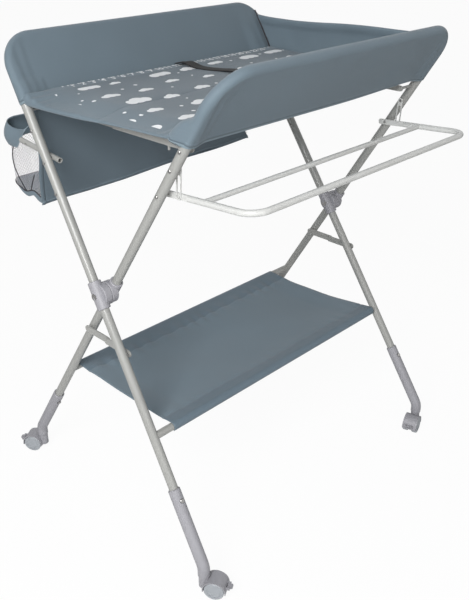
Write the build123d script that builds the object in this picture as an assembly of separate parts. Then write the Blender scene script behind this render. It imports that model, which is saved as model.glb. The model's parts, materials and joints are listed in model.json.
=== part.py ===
from build123d import *
from math import atan, cos, sin
import os

# A folding baby changing table: two crossed tube frames that turn on a pair of hubs.
# X runs along the table, the front with its drying rack is towards -Y, and Z = 0 is the floor.
# The rear frame carries the rear wall and stands on the front casters.
# The front frame carries the front wall and stands on the rear casters.

# Stance of the two frames
HUB_HEIGHT = 555.0  # fold axis above the floor
FRAME_LENGTH = 720.0  # from leg to leg of one frame, at the fold axis
LEG_SLOPE = 0.638  # run of a leg towards front or rear, per unit of height
LEG_SPLAY = 0.0525  # run of a leg outwards along X, per unit of drop
FRAME_OFFSET = 32.0  # the front frame stands this far to the right of the rear frame
TUBE_D = 19.0
TUBE_WALL = 1.2
RUN_GAP = 0.3  # air between faces that move past each other
PIN_PLAY = 0.08  # radial play of a pin in its hole

# Walls round the tray
WALL_RISE = 128.0  # axis of the top rails above the strut pivots
REAR_RAIL_BEND = 60.0  # bend radius of the rear top rail, on the tube's axis
FRONT_RAIL_BEND = 69.0
RAIL_STUB = 25.0  # straight stub of a rail below each bend
REAR_RAIL_DROP = 7.0  # axis of the rear top rail below the front one
COVER_GAP = 8.0  # lower hem of the wall covers above the strut pivots
COVER_REACH = 11.5  # from the tube's axis to the outer edge of a cover
COVER_THICK = 23.0
COVER_ROUND = 8.0
END_WALL_INSET = 3.0  # middle of the right end wall, from the end of the frame
END_WALL_DROP = 21.0  # its upper edge below the axis of the top rails
END_WALL_THICK = 8.0
END_WALL_LAP = 6.0  # the rear cover passes the end wall by this much

# Tray: folding struts at both ends, pad and strap
TRAY_HEIGHT = 880.0  # strut pivots above the floor
STRUT_WIDTH = 12.0
STRUT_THICK = 3.0
STRUT_INSET = 35.0  # struts inwards of midway between the two frames' legs
STRUT_LAP = 1  # the rear frame's links lie right of the knuckle
STRUT_LUG_AT = 151.0  # hanging lug of the front frame's links, from the knuckle
STRUT_LUG_WIDTH = 4.0
STRUT_LUG_DROP = 13.5  # its lower end below the strut pivots
PAD_LIFT = 8.0  # underside of the pad above the strut pivots
PAD_INSET = 10.0  # ends of the pad from the ends of the frame
PAD_SKEW = 12.5  # the left end follows the offset of the frames: out at the rear, in at the front
PAD_CLEAR = 1.8  # air between the pad and the wall covers
PAD_THICK = 22.0  # at the crown
PAD_EDGE = 16.0  # at the rim
PAD_END_LIFT = 2.0  # the two end rims stand this much higher
PAD_PULL = 4.0  # the sides draw in this much between the corners
PAD_FOLD_GAP = 3.0  # sewn fold line across the middle
STRAP_WIDTH = 27.0
STRAP_THICK = 2.0
STRAP_X = 80.0
STRAP_INSET = 3.0  # ends of the strap from the rims of the pad
STRAP_LIFT = 0.4

# Lower folding braces between the legs
BRACE_DROP = 108.5  # brace pivots below the fold axis
BRACE_WIDTH = 15.0
BRACE_THICK = 3.0
BRACE_LAP = -1  # the rear frame's links lie left of the knuckle
PIVOT_R = 3.0
PIN_PROUD = 1.0  # pin heads beyond the faces of the links
PIN_CLEAR = 1.6  # from the front end pin of a folding link to the leg
RIVET_R = 3.2
RIVET_PROUD = 2.2
REAR_RIVET_DROPS = (35.0, 91.0, 145.0)  # rivet heads on the rear frame, below the strut pivots

# Hubs
HUB_CLASP_R = 13.5
HUB_CLASP_LENGTH = 58.0
HUB_DRUM_R = 23.0
HUB_GAP = 0.6
BOLT_R = 4.0
BOLT_HEAD_R = 7.0
BOLT_HEAD = 3.0
EDGE_SOFT = 1.2  # chamfer on moulded rims

# Shelf sling
SHELF_HEIGHT = 302.0
SHELF_BAR_D = 16.0
SHELF_BAR_WALL = 1.2
SLING_INSET = 18.0  # ends of the sling from the ends of the frame
SLING_THICK = 2.2
SLING_SAG = 12.0
HEM_PLAY = 0.3

# Drying rack on the front legs
RACK_DROP = 91.0  # rack pivots below the strut pivots
RACK_REACH = 207.0  # pivot to outer bar
RACK_TILT = 4.0  # rise of the rack, in degrees
RACK_TUBE_D = 12.0
RACK_TUBE_WALL = 1.0
RACK_BEND = 35.0
RACK_CROSSBAR_D = 10.0
RACK_CROSSBAR_AT = 90.0
RACK_BRACKET_END = 54.0
RACK_BRACKET_TAIL = 16.0
BRACKET_WIDTH = 12.0
BRACKET_THICK = 3.0
STAY_RISE = 53.5  # upper pivots of the rack stays above the rack pivots
STAY_PIN_AT = 31.0  # stay pin on the bracket, from the rack pivot
STAY_PIN_R = 1.8
STAY_SLOT = 7.6
STAY_SLOT_END = 15.0  # top of a stay's slot below its pivot
STAY_WIDTH = 12.0
STAY_THICK = 2.5
STAY_GAP = 0.5  # washer between leg and stay

# Storage bag behind the rear legs
BAG_LEFT_GAP = 1.8  # from the left arm to the bag
BAG_RIGHT_GAP = 61.0  # from the bag to the right arm
BAG_GAP = 0.4  # from the legs to the bag, at the strut pivots
BAG_DEPTH = 116.0
BAG_HEIGHT = 168.0
BAG_RIM_DROP = 36.0  # rim of the bag below the strut pivots, where the panel next to the legs ends
BAG_WALL = 2.5
BAG_CORNER = 12.0
MESH_SILL = 36.0  # net above the floor of the bag
MESH_HEAD = 44.0  # net below the rim of the bag
MESH_MARGIN = 12.0
MESH_LAP = 4.0
MESH_PITCH = 9.0
MESH_STRAND = 1.6
MESH_THICK = 1.0
ARM_DROP = 84.0  # where the bag arms cross the legs, below the strut pivots
ARM_TILT = 5.7  # rise of the arms to the rear, in degrees
ARM_FRONT = 24.0  # open end of an arm in front of the leg's axis
ARM_REACH = 113.0  # its far end behind the leg's axis
ARM_D = 11.0
ARM_WALL = 1.2
ARM_HOLE_AT = 88.0
ARM_HOLE_R = 2.0

# Feet: height-adjusting sleeves and casters
SLEEVE_R = 12.5
SLEEVE_PLAY = 0.3
SLEEVE_TOP = 208.5
BEND_HEIGHT = 67.0
SLEEVE_BEND = 36.0
LEG_END = 112.0
SLEEVE_TRAVEL = 60.0
BUTTON_DROP = 26.0  # button below the rim of its sleeve, along the leg
BUTTON_R = 4.5
BUTTON_PROUD = 2.4
BUTTON_STEM_R = 3.0
BUTTON_TRAVEL = 1.8
BUTTON_PLAY = 0.4
WHEEL_R = 21.0
WHEEL_WIDTH = 12.5
WHEEL_GAP = 5.5  # inner wheel face from the caster's middle plane
WHEEL_RECESS_R = 15.0
WHEEL_RECESS = 1.0
AXLE_R = 2.5
CASTER_TRAIL = 24.0
HOOD_CLEAR = 1.5
HOOD_WALL = 2.0
HOOD_WEB = 4.2  # half thickness of the middle web
HOOD_LOW = 17.0
CASTER_HEIGHT = 46.0
CASTER_BOSS_R = 11.0
STEM_R = 4.0
STEM_LENGTH = 15.0
SWIVEL_GAP = 1.0
BRAKE_LENGTH = 8.0
BRAKE_THICK = 3.0
BRAKE_HALF = 6.0
BRAKE_EAR = 3.0
BRAKE_PIN_R = 1.6
BRAKE_BARREL_R = 3.0
BRAKE_HEIGHT = 27.0
CASTER_ANGLES = {"front_left": -59.0, "front_right": -165.0, "rear_left": 124.0, "rear_right": 60.0}

TUBE_R = TUBE_D / 2
REAR = 1
FRONT = -1
SIDES = {"left": -1, "right": 1}
LEFT_FACES = {"left": -1, "right": -1}
FRAMES = {"rear": REAR, "front": FRONT}
LEAN_COS = cos(atan(LEG_SLOPE))
LEAN_SIN = sin(atan(LEG_SLOPE))
SLEEVE_END = CASTER_HEIGHT + SWIVEL_GAP
WALL_TOP = TRAY_HEIGHT + WALL_RISE
COVER_LOW = TRAY_HEIGHT + COVER_GAP
END_WALL_TOP = WALL_TOP - END_WALL_DROP
END_WALL_X = FRAME_LENGTH / 2 - END_WALL_INSET
RAIL_BENDS = {REAR: REAR_RAIL_BEND, FRONT: FRONT_RAIL_BEND}
RAIL_TOPS = {REAR: WALL_TOP - REAR_RAIL_DROP, FRONT: WALL_TOP}
BRACE_HEIGHT = HUB_HEIGHT - BRACE_DROP
RACK_HEIGHT = TRAY_HEIGHT - RACK_DROP
STAY_HEIGHT = RACK_HEIGHT + STAY_RISE
ARM_HEIGHT = TRAY_HEIGHT - ARM_DROP
SLING_LENGTH = FRAME_LENGTH - 2 * SLING_INSET
PAD_LENGTH = FRAME_LENGTH - 2 * PAD_INSET
PAD_WIDTH = 2 * (LEG_SLOPE * (COVER_LOW - HUB_HEIGHT) - COVER_THICK / 2 / LEAN_COS - PAD_CLEAR)
STRAP_REACH = PAD_WIDTH - 2 * STRAP_INSET
BAG_TOP = TRAY_HEIGHT - BAG_RIM_DROP
BAG_BOTTOM = BAG_TOP - BAG_HEIGHT
BAG_FRONT = LEG_SLOPE * (TRAY_HEIGHT - HUB_HEIGHT) + TUBE_R / LEAN_COS + BAG_GAP

nodes = {}


def rod(start, end, radius, soft=0.0):
    """Round bar between two points, with its rims chamfered by soft."""
    axis = Vector(*end) - Vector(*start)
    bar = Plane(origin=start, z_dir=axis) * Cylinder(
        radius, axis.length, align=(Align.CENTER, Align.CENTER, Align.MIN)
    )
    if soft:
        bar = chamfer(bar.edges().filter_by(GeomType.CIRCLE), soft)
    return bar


def link(start, end, x_low, thick, width):
    """Flat bar with round ends, in the YZ plane between two (y, z) points."""
    run = Vector(0, end[0] - start[0], end[1] - start[1])
    middle = Vector(x_low, (start[0] + end[0]) / 2, (start[1] + end[1]) / 2)
    outline = SlotCenterToCenter(run.length, width)
    return extrude(Plane(origin=middle, x_dir=run, z_dir=(1, 0, 0)) * outline, thick)


def pivot(x_low, x_high, at, radius):
    """Bar along X at a (y, z) point."""
    return rod((x_low, at[0], at[1]), (x_high, at[0], at[1]), radius)


def leg_x(frame, side, height):
    half = FRAME_LENGTH / 2 - LEG_SPLAY * (height - HUB_HEIGHT)
    return side * half - frame * FRAME_OFFSET / 2


def leg_y(frame, height):
    return frame * LEG_SLOPE * (height - HUB_HEIGHT)


def leg_point(frame, side, height):
    return Vector(leg_x(frame, side, height), leg_y(frame, height), height)


def leg_dir(frame, side):
    return (leg_point(frame, side, HUB_HEIGHT + 1) - leg_point(frame, side, HUB_HEIGHT)).normalized()


def leg_rod(frame, side, radius):
    """The whole line of a leg as a bar, for cutting what meets it."""
    return rod(leg_point(frame, side, 0), leg_point(frame, side, WALL_TOP), radius)


def frame_plane(frame):
    """Plane of a frame: local X along the table, local Y up the legs, zero at the fold axis."""
    return Plane(origin=(0, 0, HUB_HEIGHT), x_dir=(1, 0, 0), z_dir=(0, -LEAN_COS, frame * LEAN_SIN))


def in_plane(height):
    return (height - HUB_HEIGHT) / LEAN_COS


def rail_low(frame):
    return RAIL_TOPS[frame] - (RAIL_BENDS[frame] + RAIL_STUB) * LEAN_COS


def rail_path(frame, low):
    """Line of a top rail with its two bends, down to a height on both legs."""
    corners = []
    top = RAIL_TOPS[frame]
    for side, height in ((-1, low), (-1, top), (1, top), (1, low)):
        corners.append((leg_x(frame, side, height), in_plane(height)))
    return frame_plane(frame) * FilletPolyline(*corners, radius=RAIL_BENDS[frame])


def sweep_round(path, radius):
    return sweep(Plane(origin=path @ 0, z_dir=path % 0) * Circle(radius), path=path)


def button_dir(frame, side):
    """Across the leg, as nearly to the front as its slope allows."""
    ahead = Vector(0, -1, 0)
    up = leg_dir(frame, side)
    return (ahead - up * ahead.dot(up)).normalized()


def button_point(frame, side):
    return leg_point(frame, side, SLEEVE_TOP) - leg_dir(frame, side) * BUTTON_DROP


def bolt_span(side):
    low = leg_x(REAR, side, HUB_HEIGHT) - HUB_CLASP_R
    high = leg_x(FRONT, side, HUB_HEIGHT) + HUB_CLASP_R
    return low, high


def hub_bolt(side, radius):
    low, high = bolt_span(side)
    return pivot(low, high, (0, HUB_HEIGHT), radius)


def leg(frame, side):
    """Leg tube with a hole for the hub bolt and a slot for the nose of the snap button."""
    low = leg_point(frame, side, LEG_END)
    high = leg_point(frame, side, rail_low(frame))
    tube = rod(low, high, TUBE_R) - rod(low, high, TUBE_R - TUBE_WALL)
    tube -= hub_bolt(side, BOLT_R + PIN_PLAY)
    slot_half = BUTTON_STEM_R + BUTTON_PLAY
    middle = button_point(frame, side) - leg_dir(frame, side) * SLEEVE_TRAVEL / 2
    slot = SlotCenterToCenter(SLEEVE_TRAVEL, 2 * slot_half)
    plane = Plane(origin=middle, x_dir=leg_dir(frame, side), z_dir=button_dir(frame, side))
    return tube - extrude(plane * slot, TUBE_D)


def top_rail(frame):
    path = rail_path(frame, rail_low(frame))
    return sweep_round(path, TUBE_R) - sweep_round(path, TUBE_R - TUBE_WALL)


def shelf_bar(frame):
    """Bar between the lower legs of one frame, fish-mouthed against them."""
    left = leg_point(frame, -1, SHELF_HEIGHT)
    right = leg_point(frame, 1, SHELF_HEIGHT)
    bar = rod(left, right, SHELF_BAR_D / 2) - rod(left, right, SHELF_BAR_D / 2 - SHELF_BAR_WALL)
    return bar - leg_rod(frame, -1, TUBE_R) - leg_rod(frame, 1, TUBE_R)


def hub_half(frame, side):
    """One moulding of a hub: a clasp round the leg and a drum that faces the other half."""
    centre = leg_point(frame, side, HUB_HEIGHT)
    reach = leg_dir(frame, side) * HUB_CLASP_LENGTH / 2
    face_x = side * FRAME_LENGTH / 2 - frame * HUB_GAP / 2
    hub = rod(centre - reach, centre + reach, HUB_CLASP_R, EDGE_SOFT)
    hub += rod(centre, (face_x, 0, HUB_HEIGHT), HUB_DRUM_R, EDGE_SOFT)
    hub -= rod(centre - reach * 2, centre + reach * 2, TUBE_R)
    hub -= hub_bolt(side, BOLT_R + PIN_PLAY)
    outer = bolt_span(side)[0 if frame == REAR else 1]
    return hub - pivot(outer, outer + frame * BOLT_HEAD, (0, HUB_HEIGHT), BOLT_HEAD_R + PIN_PLAY)


def hub_bolts():
    """Pivot bolts with a sunk head at each end."""
    bolts = []
    for side in SIDES.values():
        low, high = bolt_span(side)
        bolt = hub_bolt(side, BOLT_R)
        bolt += pivot(low, low + BOLT_HEAD, (0, HUB_HEIGHT), BOLT_HEAD_R)
        bolt += pivot(high - BOLT_HEAD, high, (0, HUB_HEIGHT), BOLT_HEAD_R)
        bolts.append(bolt)
    return Compound(children=bolts)


def rivets(frame, heights, faces):
    """Rivet heads on one face of each leg of a frame."""
    heads = []
    for name, side in SIDES.items():
        for height in heights:
            seat = leg_point(frame, side, height)
            crown = seat + Vector(faces[name] * (TUBE_R + RIVET_PROUD), 0, 0)
            head = rod(seat, crown, RIVET_R, RIVET_PROUD / 3)
            heads.append(head - leg_rod(frame, side, TUBE_R))
    return Compound(children=heads)


def wall_cover(frame, left_reach, right_reach):
    """Fabric envelope over a top rail and the upper legs, with the tube's channel inside it."""
    low = in_plane(COVER_LOW)
    high = in_plane(RAIL_TOPS[frame]) + COVER_REACH
    top = HUB_HEIGHT + high * LEAN_COS
    corners = [
        (leg_x(frame, -1, COVER_LOW) - left_reach, low),
        (leg_x(frame, -1, top) - left_reach, high),
        (leg_x(frame, 1, top) + right_reach, high),
        (leg_x(frame, 1, COVER_LOW) + right_reach, low),
    ]
    face = make_face(Polyline(*corners, close=True))
    face = fillet(face.vertices().sort_by(Axis.Y)[-2:], RAIL_BENDS[frame] + COVER_REACH)
    slab = extrude(frame_plane(frame) * face, COVER_THICK / 2, both=True)
    slab = fillet(slab.faces().sort_by(SortBy.AREA)[-2:].edges(), COVER_ROUND)
    return slab - sweep_round(rail_path(frame, COVER_LOW - COVER_THICK), TUBE_R + HEM_PLAY)


def cover_face_y(height):
    """Inner face of a wall cover, from the middle plane."""
    return LEG_SLOPE * (height - HUB_HEIGHT) - COVER_THICK / 2 / LEAN_COS


def end_wall():
    """Fabric panel across the right end, between the two wall covers."""
    low = COVER_LOW
    inner_low = cover_face_y(low) - RUN_GAP
    inner_top = cover_face_y(END_WALL_TOP) - RUN_GAP
    corners = [(-inner_low, low), (inner_low, low), (inner_top, END_WALL_TOP), (-inner_top, END_WALL_TOP)]
    face = make_face(Polyline(*corners, close=True))
    plane = Plane(origin=(END_WALL_X, 0, 0), x_dir=(0, 1, 0), z_dir=(1, 0, 0))
    panel = extrude(plane * face, END_WALL_THICK / 2, both=True)
    return fillet(panel.edges().filter_by(Axis.Y), END_WALL_THICK / 3)


def pad_crown(half, turn, lift):
    """Long round bar whose top is the crown of the pad, for trimming a plain block."""
    rise = PAD_THICK - PAD_EDGE
    radius = (half**2 + rise**2) / (2 * rise)
    top = TRAY_HEIGHT + PAD_LIFT + PAD_THICK + lift
    return Pos(0, 0, top - radius) * Cylinder(radius, 2 * PAD_LENGTH, rotation=turn)


def pad_plan():
    """Outline of the pad from above, its sides drawn in between the corners."""
    x = PAD_LENGTH / 2
    y = PAD_WIDTH / 2
    front_left = (PAD_SKEW - x, -y)
    rear_left = (-PAD_SKEW - x, y)
    return make_face(
        [
            ThreePointArc(front_left, (0, PAD_PULL - y), (x, -y)),
            ThreePointArc((x, -y), (x - PAD_PULL, 0), (x, y)),
            ThreePointArc((x, y), (0, y - PAD_PULL), rear_left),
            ThreePointArc(rear_left, (PAD_PULL - x, 0), front_left),
        ]
    )


def pad_half(frame):
    """Half of the tray pad, from the fold line to one wall."""
    base = TRAY_HEIGHT + PAD_LIFT
    pad = extrude(Pos(0, 0, base) * pad_plan(), 2 * PAD_THICK)
    side = Pos(0, frame * (PAD_WIDTH + PAD_FOLD_GAP) / 2, base)
    pad &= side * Box(2 * PAD_LENGTH, PAD_WIDTH, 5 * PAD_THICK)
    pad &= pad_crown(PAD_WIDTH / 2, (0, 90, 0), 0)
    return pad & pad_crown(PAD_LENGTH / 2, (90, 0, 0), PAD_END_LIFT)


def safety_strap():
    """Webbing strap laid over the crown of the pad."""
    half = STRAP_REACH / 2
    base = TRAY_HEIGHT + PAD_LIFT + STRAP_LIFT
    rise = (PAD_THICK - PAD_EDGE) * (1 - (half / (PAD_WIDTH / 2)) ** 2)
    ends = [base + PAD_EDGE + rise, base + PAD_EDGE + rise + STRAP_THICK]
    tops = [base + PAD_THICK, base + PAD_THICK + STRAP_THICK]
    outline = make_face(
        [
            ThreePointArc((-half, ends[0]), (0, tops[0]), (half, ends[0])),
            Line((half, ends[0]), (half, ends[1])),
            ThreePointArc((half, ends[1]), (0, tops[1]), (-half, ends[1])),
            Line((-half, ends[1]), (-half, ends[0])),
        ]
    )
    return extrude(Plane.YZ.offset(STRAP_X) * outline, STRAP_WIDTH / 2, both=True)


def link_planes(side, height, thick, inset, lap):
    """Low faces along X of the rear-frame link and of the front-frame link of a folding stay."""
    middle = (leg_x(REAR, side, height) + leg_x(FRONT, side, height)) / 2 - side * inset
    low = middle - RUN_GAP - thick
    high = middle + RUN_GAP
    return (low, high) if lap < 0 else (high, low)


def folding_links(height, thick, width, inset, lap):
    """Rear-frame and front-frame links of a two-piece folding stay at both ends of the table.

    The links lap side by side at a middle knuckle: lap says on which side of it, along X, the
    rear-frame link lies. That link carries the knuckle pin and turns on a stub of the rear frame's
    leg. The other link carries the pin at the front leg.
    """
    pairs = {}
    pins = []
    play = PIVOT_R + PIN_PLAY
    start = (leg_y(REAR, height), height)
    finish = (leg_y(FRONT, height), height)
    knuckle = (0, height)
    for name, side in SIDES.items():
        near_x, far_x = link_planes(side, height, thick, inset, lap)
        low = min(near_x, far_x) - PIN_PROUD
        high = max(near_x, far_x) + thick + PIN_PROUD
        near = link(start, knuckle, near_x, thick, width) - pivot(near_x, near_x + thick, start, play)
        near += pivot(low, high, knuckle, PIVOT_R)
        far = link(knuckle, finish, far_x, thick, width) - pivot(far_x, far_x + thick, knuckle, play)
        front_leg = leg_x(FRONT, side, height)
        pin_end = front_leg + (TUBE_R + PIN_CLEAR) * (1 if far_x > front_leg else -1)
        far += pivot(min(far_x, pin_end), max(far_x + thick, pin_end), finish, PIVOT_R)
        pairs[name] = (near, far)
        rear_leg = leg_x(REAR, side, height)
        stub_end = near_x + thick + PIN_PROUD if near_x > rear_leg else near_x - PIN_PROUD
        stub = pivot(min(rear_leg, stub_end), max(rear_leg, stub_end), start, PIVOT_R)
        pins.append(stub - leg_rod(REAR, side, TUBE_R))
    return pairs, pins


def strut_lug(side):
    """Small lug that hangs from a front-frame strut link near its front end."""
    x = link_planes(side, TRAY_HEIGHT, STRUT_THICK, STRUT_INSET, STRUT_LAP)[1]
    lug = Box(STRUT_THICK, STRUT_LUG_WIDTH, STRUT_LUG_DROP, align=(Align.MIN, Align.CENTER, Align.MAX))
    return Pos(x, -STRUT_LUG_AT, TRAY_HEIGHT) * lug


def shelf_sling():
    """Cloth slung between the two shelf bars, with a hem tunnel round each."""
    front_y = leg_y(REAR, SHELF_HEIGHT)
    bar_r = SHELF_BAR_D / 2
    top = SHELF_HEIGHT + bar_r + HEM_PLAY + SLING_THICK
    under = top - SLING_THICK
    sheet = make_face(
        [
            ThreePointArc((front_y, top), (0, top - SLING_SAG), (-front_y, top)),
            Line((-front_y, top), (-front_y, under)),
            ThreePointArc((-front_y, under), (0, under - SLING_SAG), (front_y, under)),
            Line((front_y, under), (front_y, top)),
        ]
    )
    hems = [Pos(y, SHELF_HEIGHT) * Circle(bar_r + HEM_PLAY + SLING_THICK) for y in (front_y, -front_y)]
    tunnels = [Pos(y, SHELF_HEIGHT) * Circle(bar_r + HEM_PLAY) for y in (front_y, -front_y)]
    outline = sheet + hems - tunnels
    return extrude(Plane.YZ * outline, SLING_LENGTH / 2, both=True)


def rack_plane():
    """Plane of the rack: origin midway between its pivots, local Y out along the arms."""
    out = Vector(0, -1, 0).rotate(Axis.X, -RACK_TILT)
    origin = Vector(-FRONT * FRAME_OFFSET / 2, leg_y(FRONT, RACK_HEIGHT), RACK_HEIGHT)
    return Plane(origin=origin, x_dir=(1, 0, 0), z_dir=Vector(1, 0, 0).cross(out))


def stay_at(side):
    """Middle of a rack stay in the rack plane: next to the inner face of the leg at the stay's pivot."""
    half = FRAME_LENGTH / 2 - LEG_SPLAY * (STAY_HEIGHT - HUB_HEIGHT)
    return side * (half - TUBE_R - STAY_GAP - STAY_THICK / 2)


def rack_arm_x(side):
    """Middle of a rack bracket in the rack plane: next to the inner face of the stay."""
    return stay_at(side) - side * (STAY_THICK / 2 + RUN_GAP + BRACKET_THICK / 2)


def rack_tube():
    reach = [(rack_arm_x(-1), RACK_BRACKET_END), (rack_arm_x(-1), RACK_REACH)]
    reach += [(rack_arm_x(1), RACK_REACH), (rack_arm_x(1), RACK_BRACKET_END)]
    path = rack_plane() * FilletPolyline(*reach, radius=RACK_BEND)
    radius = RACK_TUBE_D / 2
    return sweep_round(path, radius) - sweep_round(path, radius - RACK_TUBE_WALL)


def rack_point(x, out):
    return rack_plane().from_local_coords(Vector(x, out, 0))


def rack_crossbar():
    """Bar between the two arms of the rack, fish-mouthed against them."""
    left = rack_point(rack_arm_x(-1), RACK_CROSSBAR_AT)
    right = rack_point(rack_arm_x(1), RACK_CROSSBAR_AT)
    bar = rod(left, right, RACK_CROSSBAR_D / 2) - rod(left, right, RACK_CROSSBAR_D / 2 - RACK_TUBE_WALL)
    for side in SIDES.values():
        near = rack_point(rack_arm_x(side), RACK_BRACKET_END)
        bar -= rod(near, rack_point(rack_arm_x(side), RACK_REACH), RACK_TUBE_D / 2)
    return bar


def rack_bracket(side):
    """Flat strip from the leg pivot to the rack tube, with the pin that rides in the stay's slot."""
    plane = rack_plane()
    x = rack_arm_x(side)
    length = RACK_BRACKET_END + RACK_BRACKET_TAIL
    strip = Box(BRACKET_THICK, length, BRACKET_WIDTH)
    strip = Pos(x, (RACK_BRACKET_END - RACK_BRACKET_TAIL) / 2, 0) * strip
    strip = plane * fillet(strip.edges().filter_by(Axis.X).group_by(Axis.Y)[0], BRACKET_WIDTH / 3)
    bore_from = rack_point(x - BRACKET_THICK, 0)
    strip -= rod(bore_from, bore_from + Vector(2 * BRACKET_THICK, 0, 0), PIVOT_R + PIN_PLAY)
    pin_from = rack_point(x + side * BRACKET_THICK / 2, STAY_PIN_AT)
    reach = side * (RUN_GAP + STAY_THICK)
    return strip + rod(pin_from, pin_from + Vector(reach, 0, 0), STAY_PIN_R)


def rack_stay(side):
    """Slotted strip that hangs from the leg and stops the rack level."""
    x = rack_plane().origin.X + stay_at(side) - STAY_THICK / 2
    upper = Vector(0, leg_y(FRONT, STAY_HEIGHT), STAY_HEIGHT)
    lower = rack_point(0, STAY_PIN_AT)
    lower = Vector(0, lower.Y, lower.Z)
    along = (upper - lower).normalized()
    strip = link((upper.Y, upper.Z), (lower.Y, lower.Z), x, STAY_THICK, STAY_WIDTH)
    strip -= pivot(x, x + STAY_THICK, (upper.Y, upper.Z), PIVOT_R + PIN_PLAY)
    slot_top = upper - along * STAY_SLOT_END
    return strip - link((lower.Y, lower.Z), (slot_top.Y, slot_top.Z), x, STAY_THICK, STAY_SLOT)


def rack_studs():
    """Pivot studs of the rack brackets and of the stays, standing on the inner faces of the front legs."""
    studs = []
    for side in SIDES.values():
        bracket_face = rack_plane().origin.X + rack_arm_x(side) - side * BRACKET_THICK / 2
        stay_face = rack_plane().origin.X + stay_at(side) - side * STAY_THICK / 2
        for height, face in ((RACK_HEIGHT, bracket_face), (STAY_HEIGHT, stay_face)):
            low, high = sorted((leg_x(FRONT, side, height), face))
            stud = pivot(low, high, (leg_y(FRONT, height), height), PIVOT_R)
            studs.append(stud - leg_rod(FRONT, side, TUBE_R))
    return studs


def arm_x(side):
    """Axis of a bag arm, on the right-hand side of its leg."""
    return leg_x(REAR, side, ARM_HEIGHT) + TUBE_R + RUN_GAP + ARM_D / 2


def bag_ends():
    return arm_x(-1) + ARM_D / 2 + BAG_LEFT_GAP, arm_x(1) - ARM_D / 2 - BAG_RIGHT_GAP


def storage_bag():
    """Open-topped bag of thin cloth, its left end cut out for the net."""
    left, right = bag_ends()
    length = right - left
    middle_x = (left + right) / 2
    middle_y = BAG_FRONT + BAG_DEPTH / 2
    low = (Align.CENTER, Align.CENTER, Align.MIN)
    bag = Box(length, BAG_DEPTH, BAG_HEIGHT, align=low)
    bag = fillet(bag.faces().sort_by(Axis.Z)[0].edges(), BAG_CORNER)
    inside = Pos(0, 0, BAG_WALL) * Box(
        length - 2 * BAG_WALL, BAG_DEPTH - 2 * BAG_WALL, BAG_HEIGHT, align=low
    )
    bag -= fillet(inside.faces().sort_by(Axis.Z)[0].edges(), BAG_CORNER - BAG_WALL)
    bag = Pos(middle_x, middle_y, BAG_BOTTOM) * bag
    panel = Pos(middle_x, BAG_FRONT + BAG_WALL / 2, BAG_TOP) * Box(
        length, BAG_WALL, BAG_RIM_DROP, align=low
    )
    window = Pos(left, middle_y, BAG_BOTTOM + MESH_SILL) * Box(
        4 * BAG_WALL, BAG_DEPTH - 2 * MESH_MARGIN, BAG_HEIGHT - MESH_SILL - MESH_HEAD, align=low
    )
    return bag + panel - window


def bag_mesh():
    """Net over the window in the left end of the bag."""
    width = BAG_DEPTH - 2 * MESH_MARGIN
    height = BAG_HEIGHT - MESH_SILL - MESH_HEAD
    across = int(width // MESH_PITCH)
    up = int(height // MESH_PITCH)
    hole = Rectangle(MESH_PITCH - MESH_STRAND, MESH_PITCH - MESH_STRAND)
    net = Rectangle(width + 2 * MESH_LAP, height + 2 * MESH_LAP)
    net -= GridLocations(MESH_PITCH, MESH_PITCH, across, up) * hole
    origin = (bag_ends()[0] - RUN_GAP, BAG_FRONT + BAG_DEPTH / 2, BAG_BOTTOM + MESH_SILL + height / 2)
    return extrude(Plane(origin=origin, x_dir=(0, -1, 0), z_dir=(-1, 0, 0)) * net, MESH_THICK)


def bag_arms():
    """Round tubes beside the rear frame's legs that hold the bag out, open at both ends."""
    arms = []
    crossing = Vector(0, leg_y(REAR, ARM_HEIGHT), ARM_HEIGHT)
    along = Vector(0, 1, 0).rotate(Axis.X, ARM_TILT)
    for side in SIDES.values():
        middle = crossing + Vector(arm_x(side), 0, 0)
        front = middle - along * ARM_FRONT
        rear = middle + along * ARM_REACH
        arm = rod(front, rear, ARM_D / 2)
        arm += pivot(leg_x(REAR, side, ARM_HEIGHT), arm_x(side), (crossing.Y, crossing.Z), PIVOT_R)
        arm -= rod(front, rear, ARM_D / 2 - ARM_WALL)
        hole = middle + along * ARM_HOLE_AT
        arm -= pivot(arm_x(side) - ARM_D, arm_x(side) + ARM_D, (hole.Y, hole.Z), ARM_HOLE_R)
        arms.append(arm - leg_rod(REAR, side, TUBE_R))
    return Compound(children=arms)


def foot_sleeve(frame, side):
    """Plastic sleeve that slides on the leg and bends down to the caster's stem."""
    rim = leg_point(frame, side, SLEEVE_TOP)
    bend = leg_point(frame, side, BEND_HEIGHT)
    end = Vector(bend.X, bend.Y, SLEEVE_END)
    path = FilletPolyline(rim, bend, end, radius=SLEEVE_BEND)
    sleeve = sweep_round(path, SLEEVE_R)
    sleeve = chamfer(sleeve.edges().filter_by(GeomType.CIRCLE).sort_by(Axis.Z)[-1], EDGE_SOFT)
    seat = leg_point(frame, side, LEG_END - SLEEVE_PLAY)
    sleeve -= rod(seat, rim + leg_dir(frame, side), TUBE_R + SLEEVE_PLAY)
    sleeve -= rod(end, end + Vector(0, 0, STEM_LENGTH + SWIVEL_GAP), STEM_R + PIN_PLAY)
    out = button_dir(frame, side)
    axis = button_point(frame, side)
    sleeve -= rod(axis, axis + out * SLEEVE_R * 2, BUTTON_STEM_R + BUTTON_PLAY)
    floor = SLEEVE_R - BUTTON_TRAVEL - RUN_GAP
    return sleeve - rod(axis + out * floor, axis + out * SLEEVE_R * 2, BUTTON_R + BUTTON_PLAY)


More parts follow.
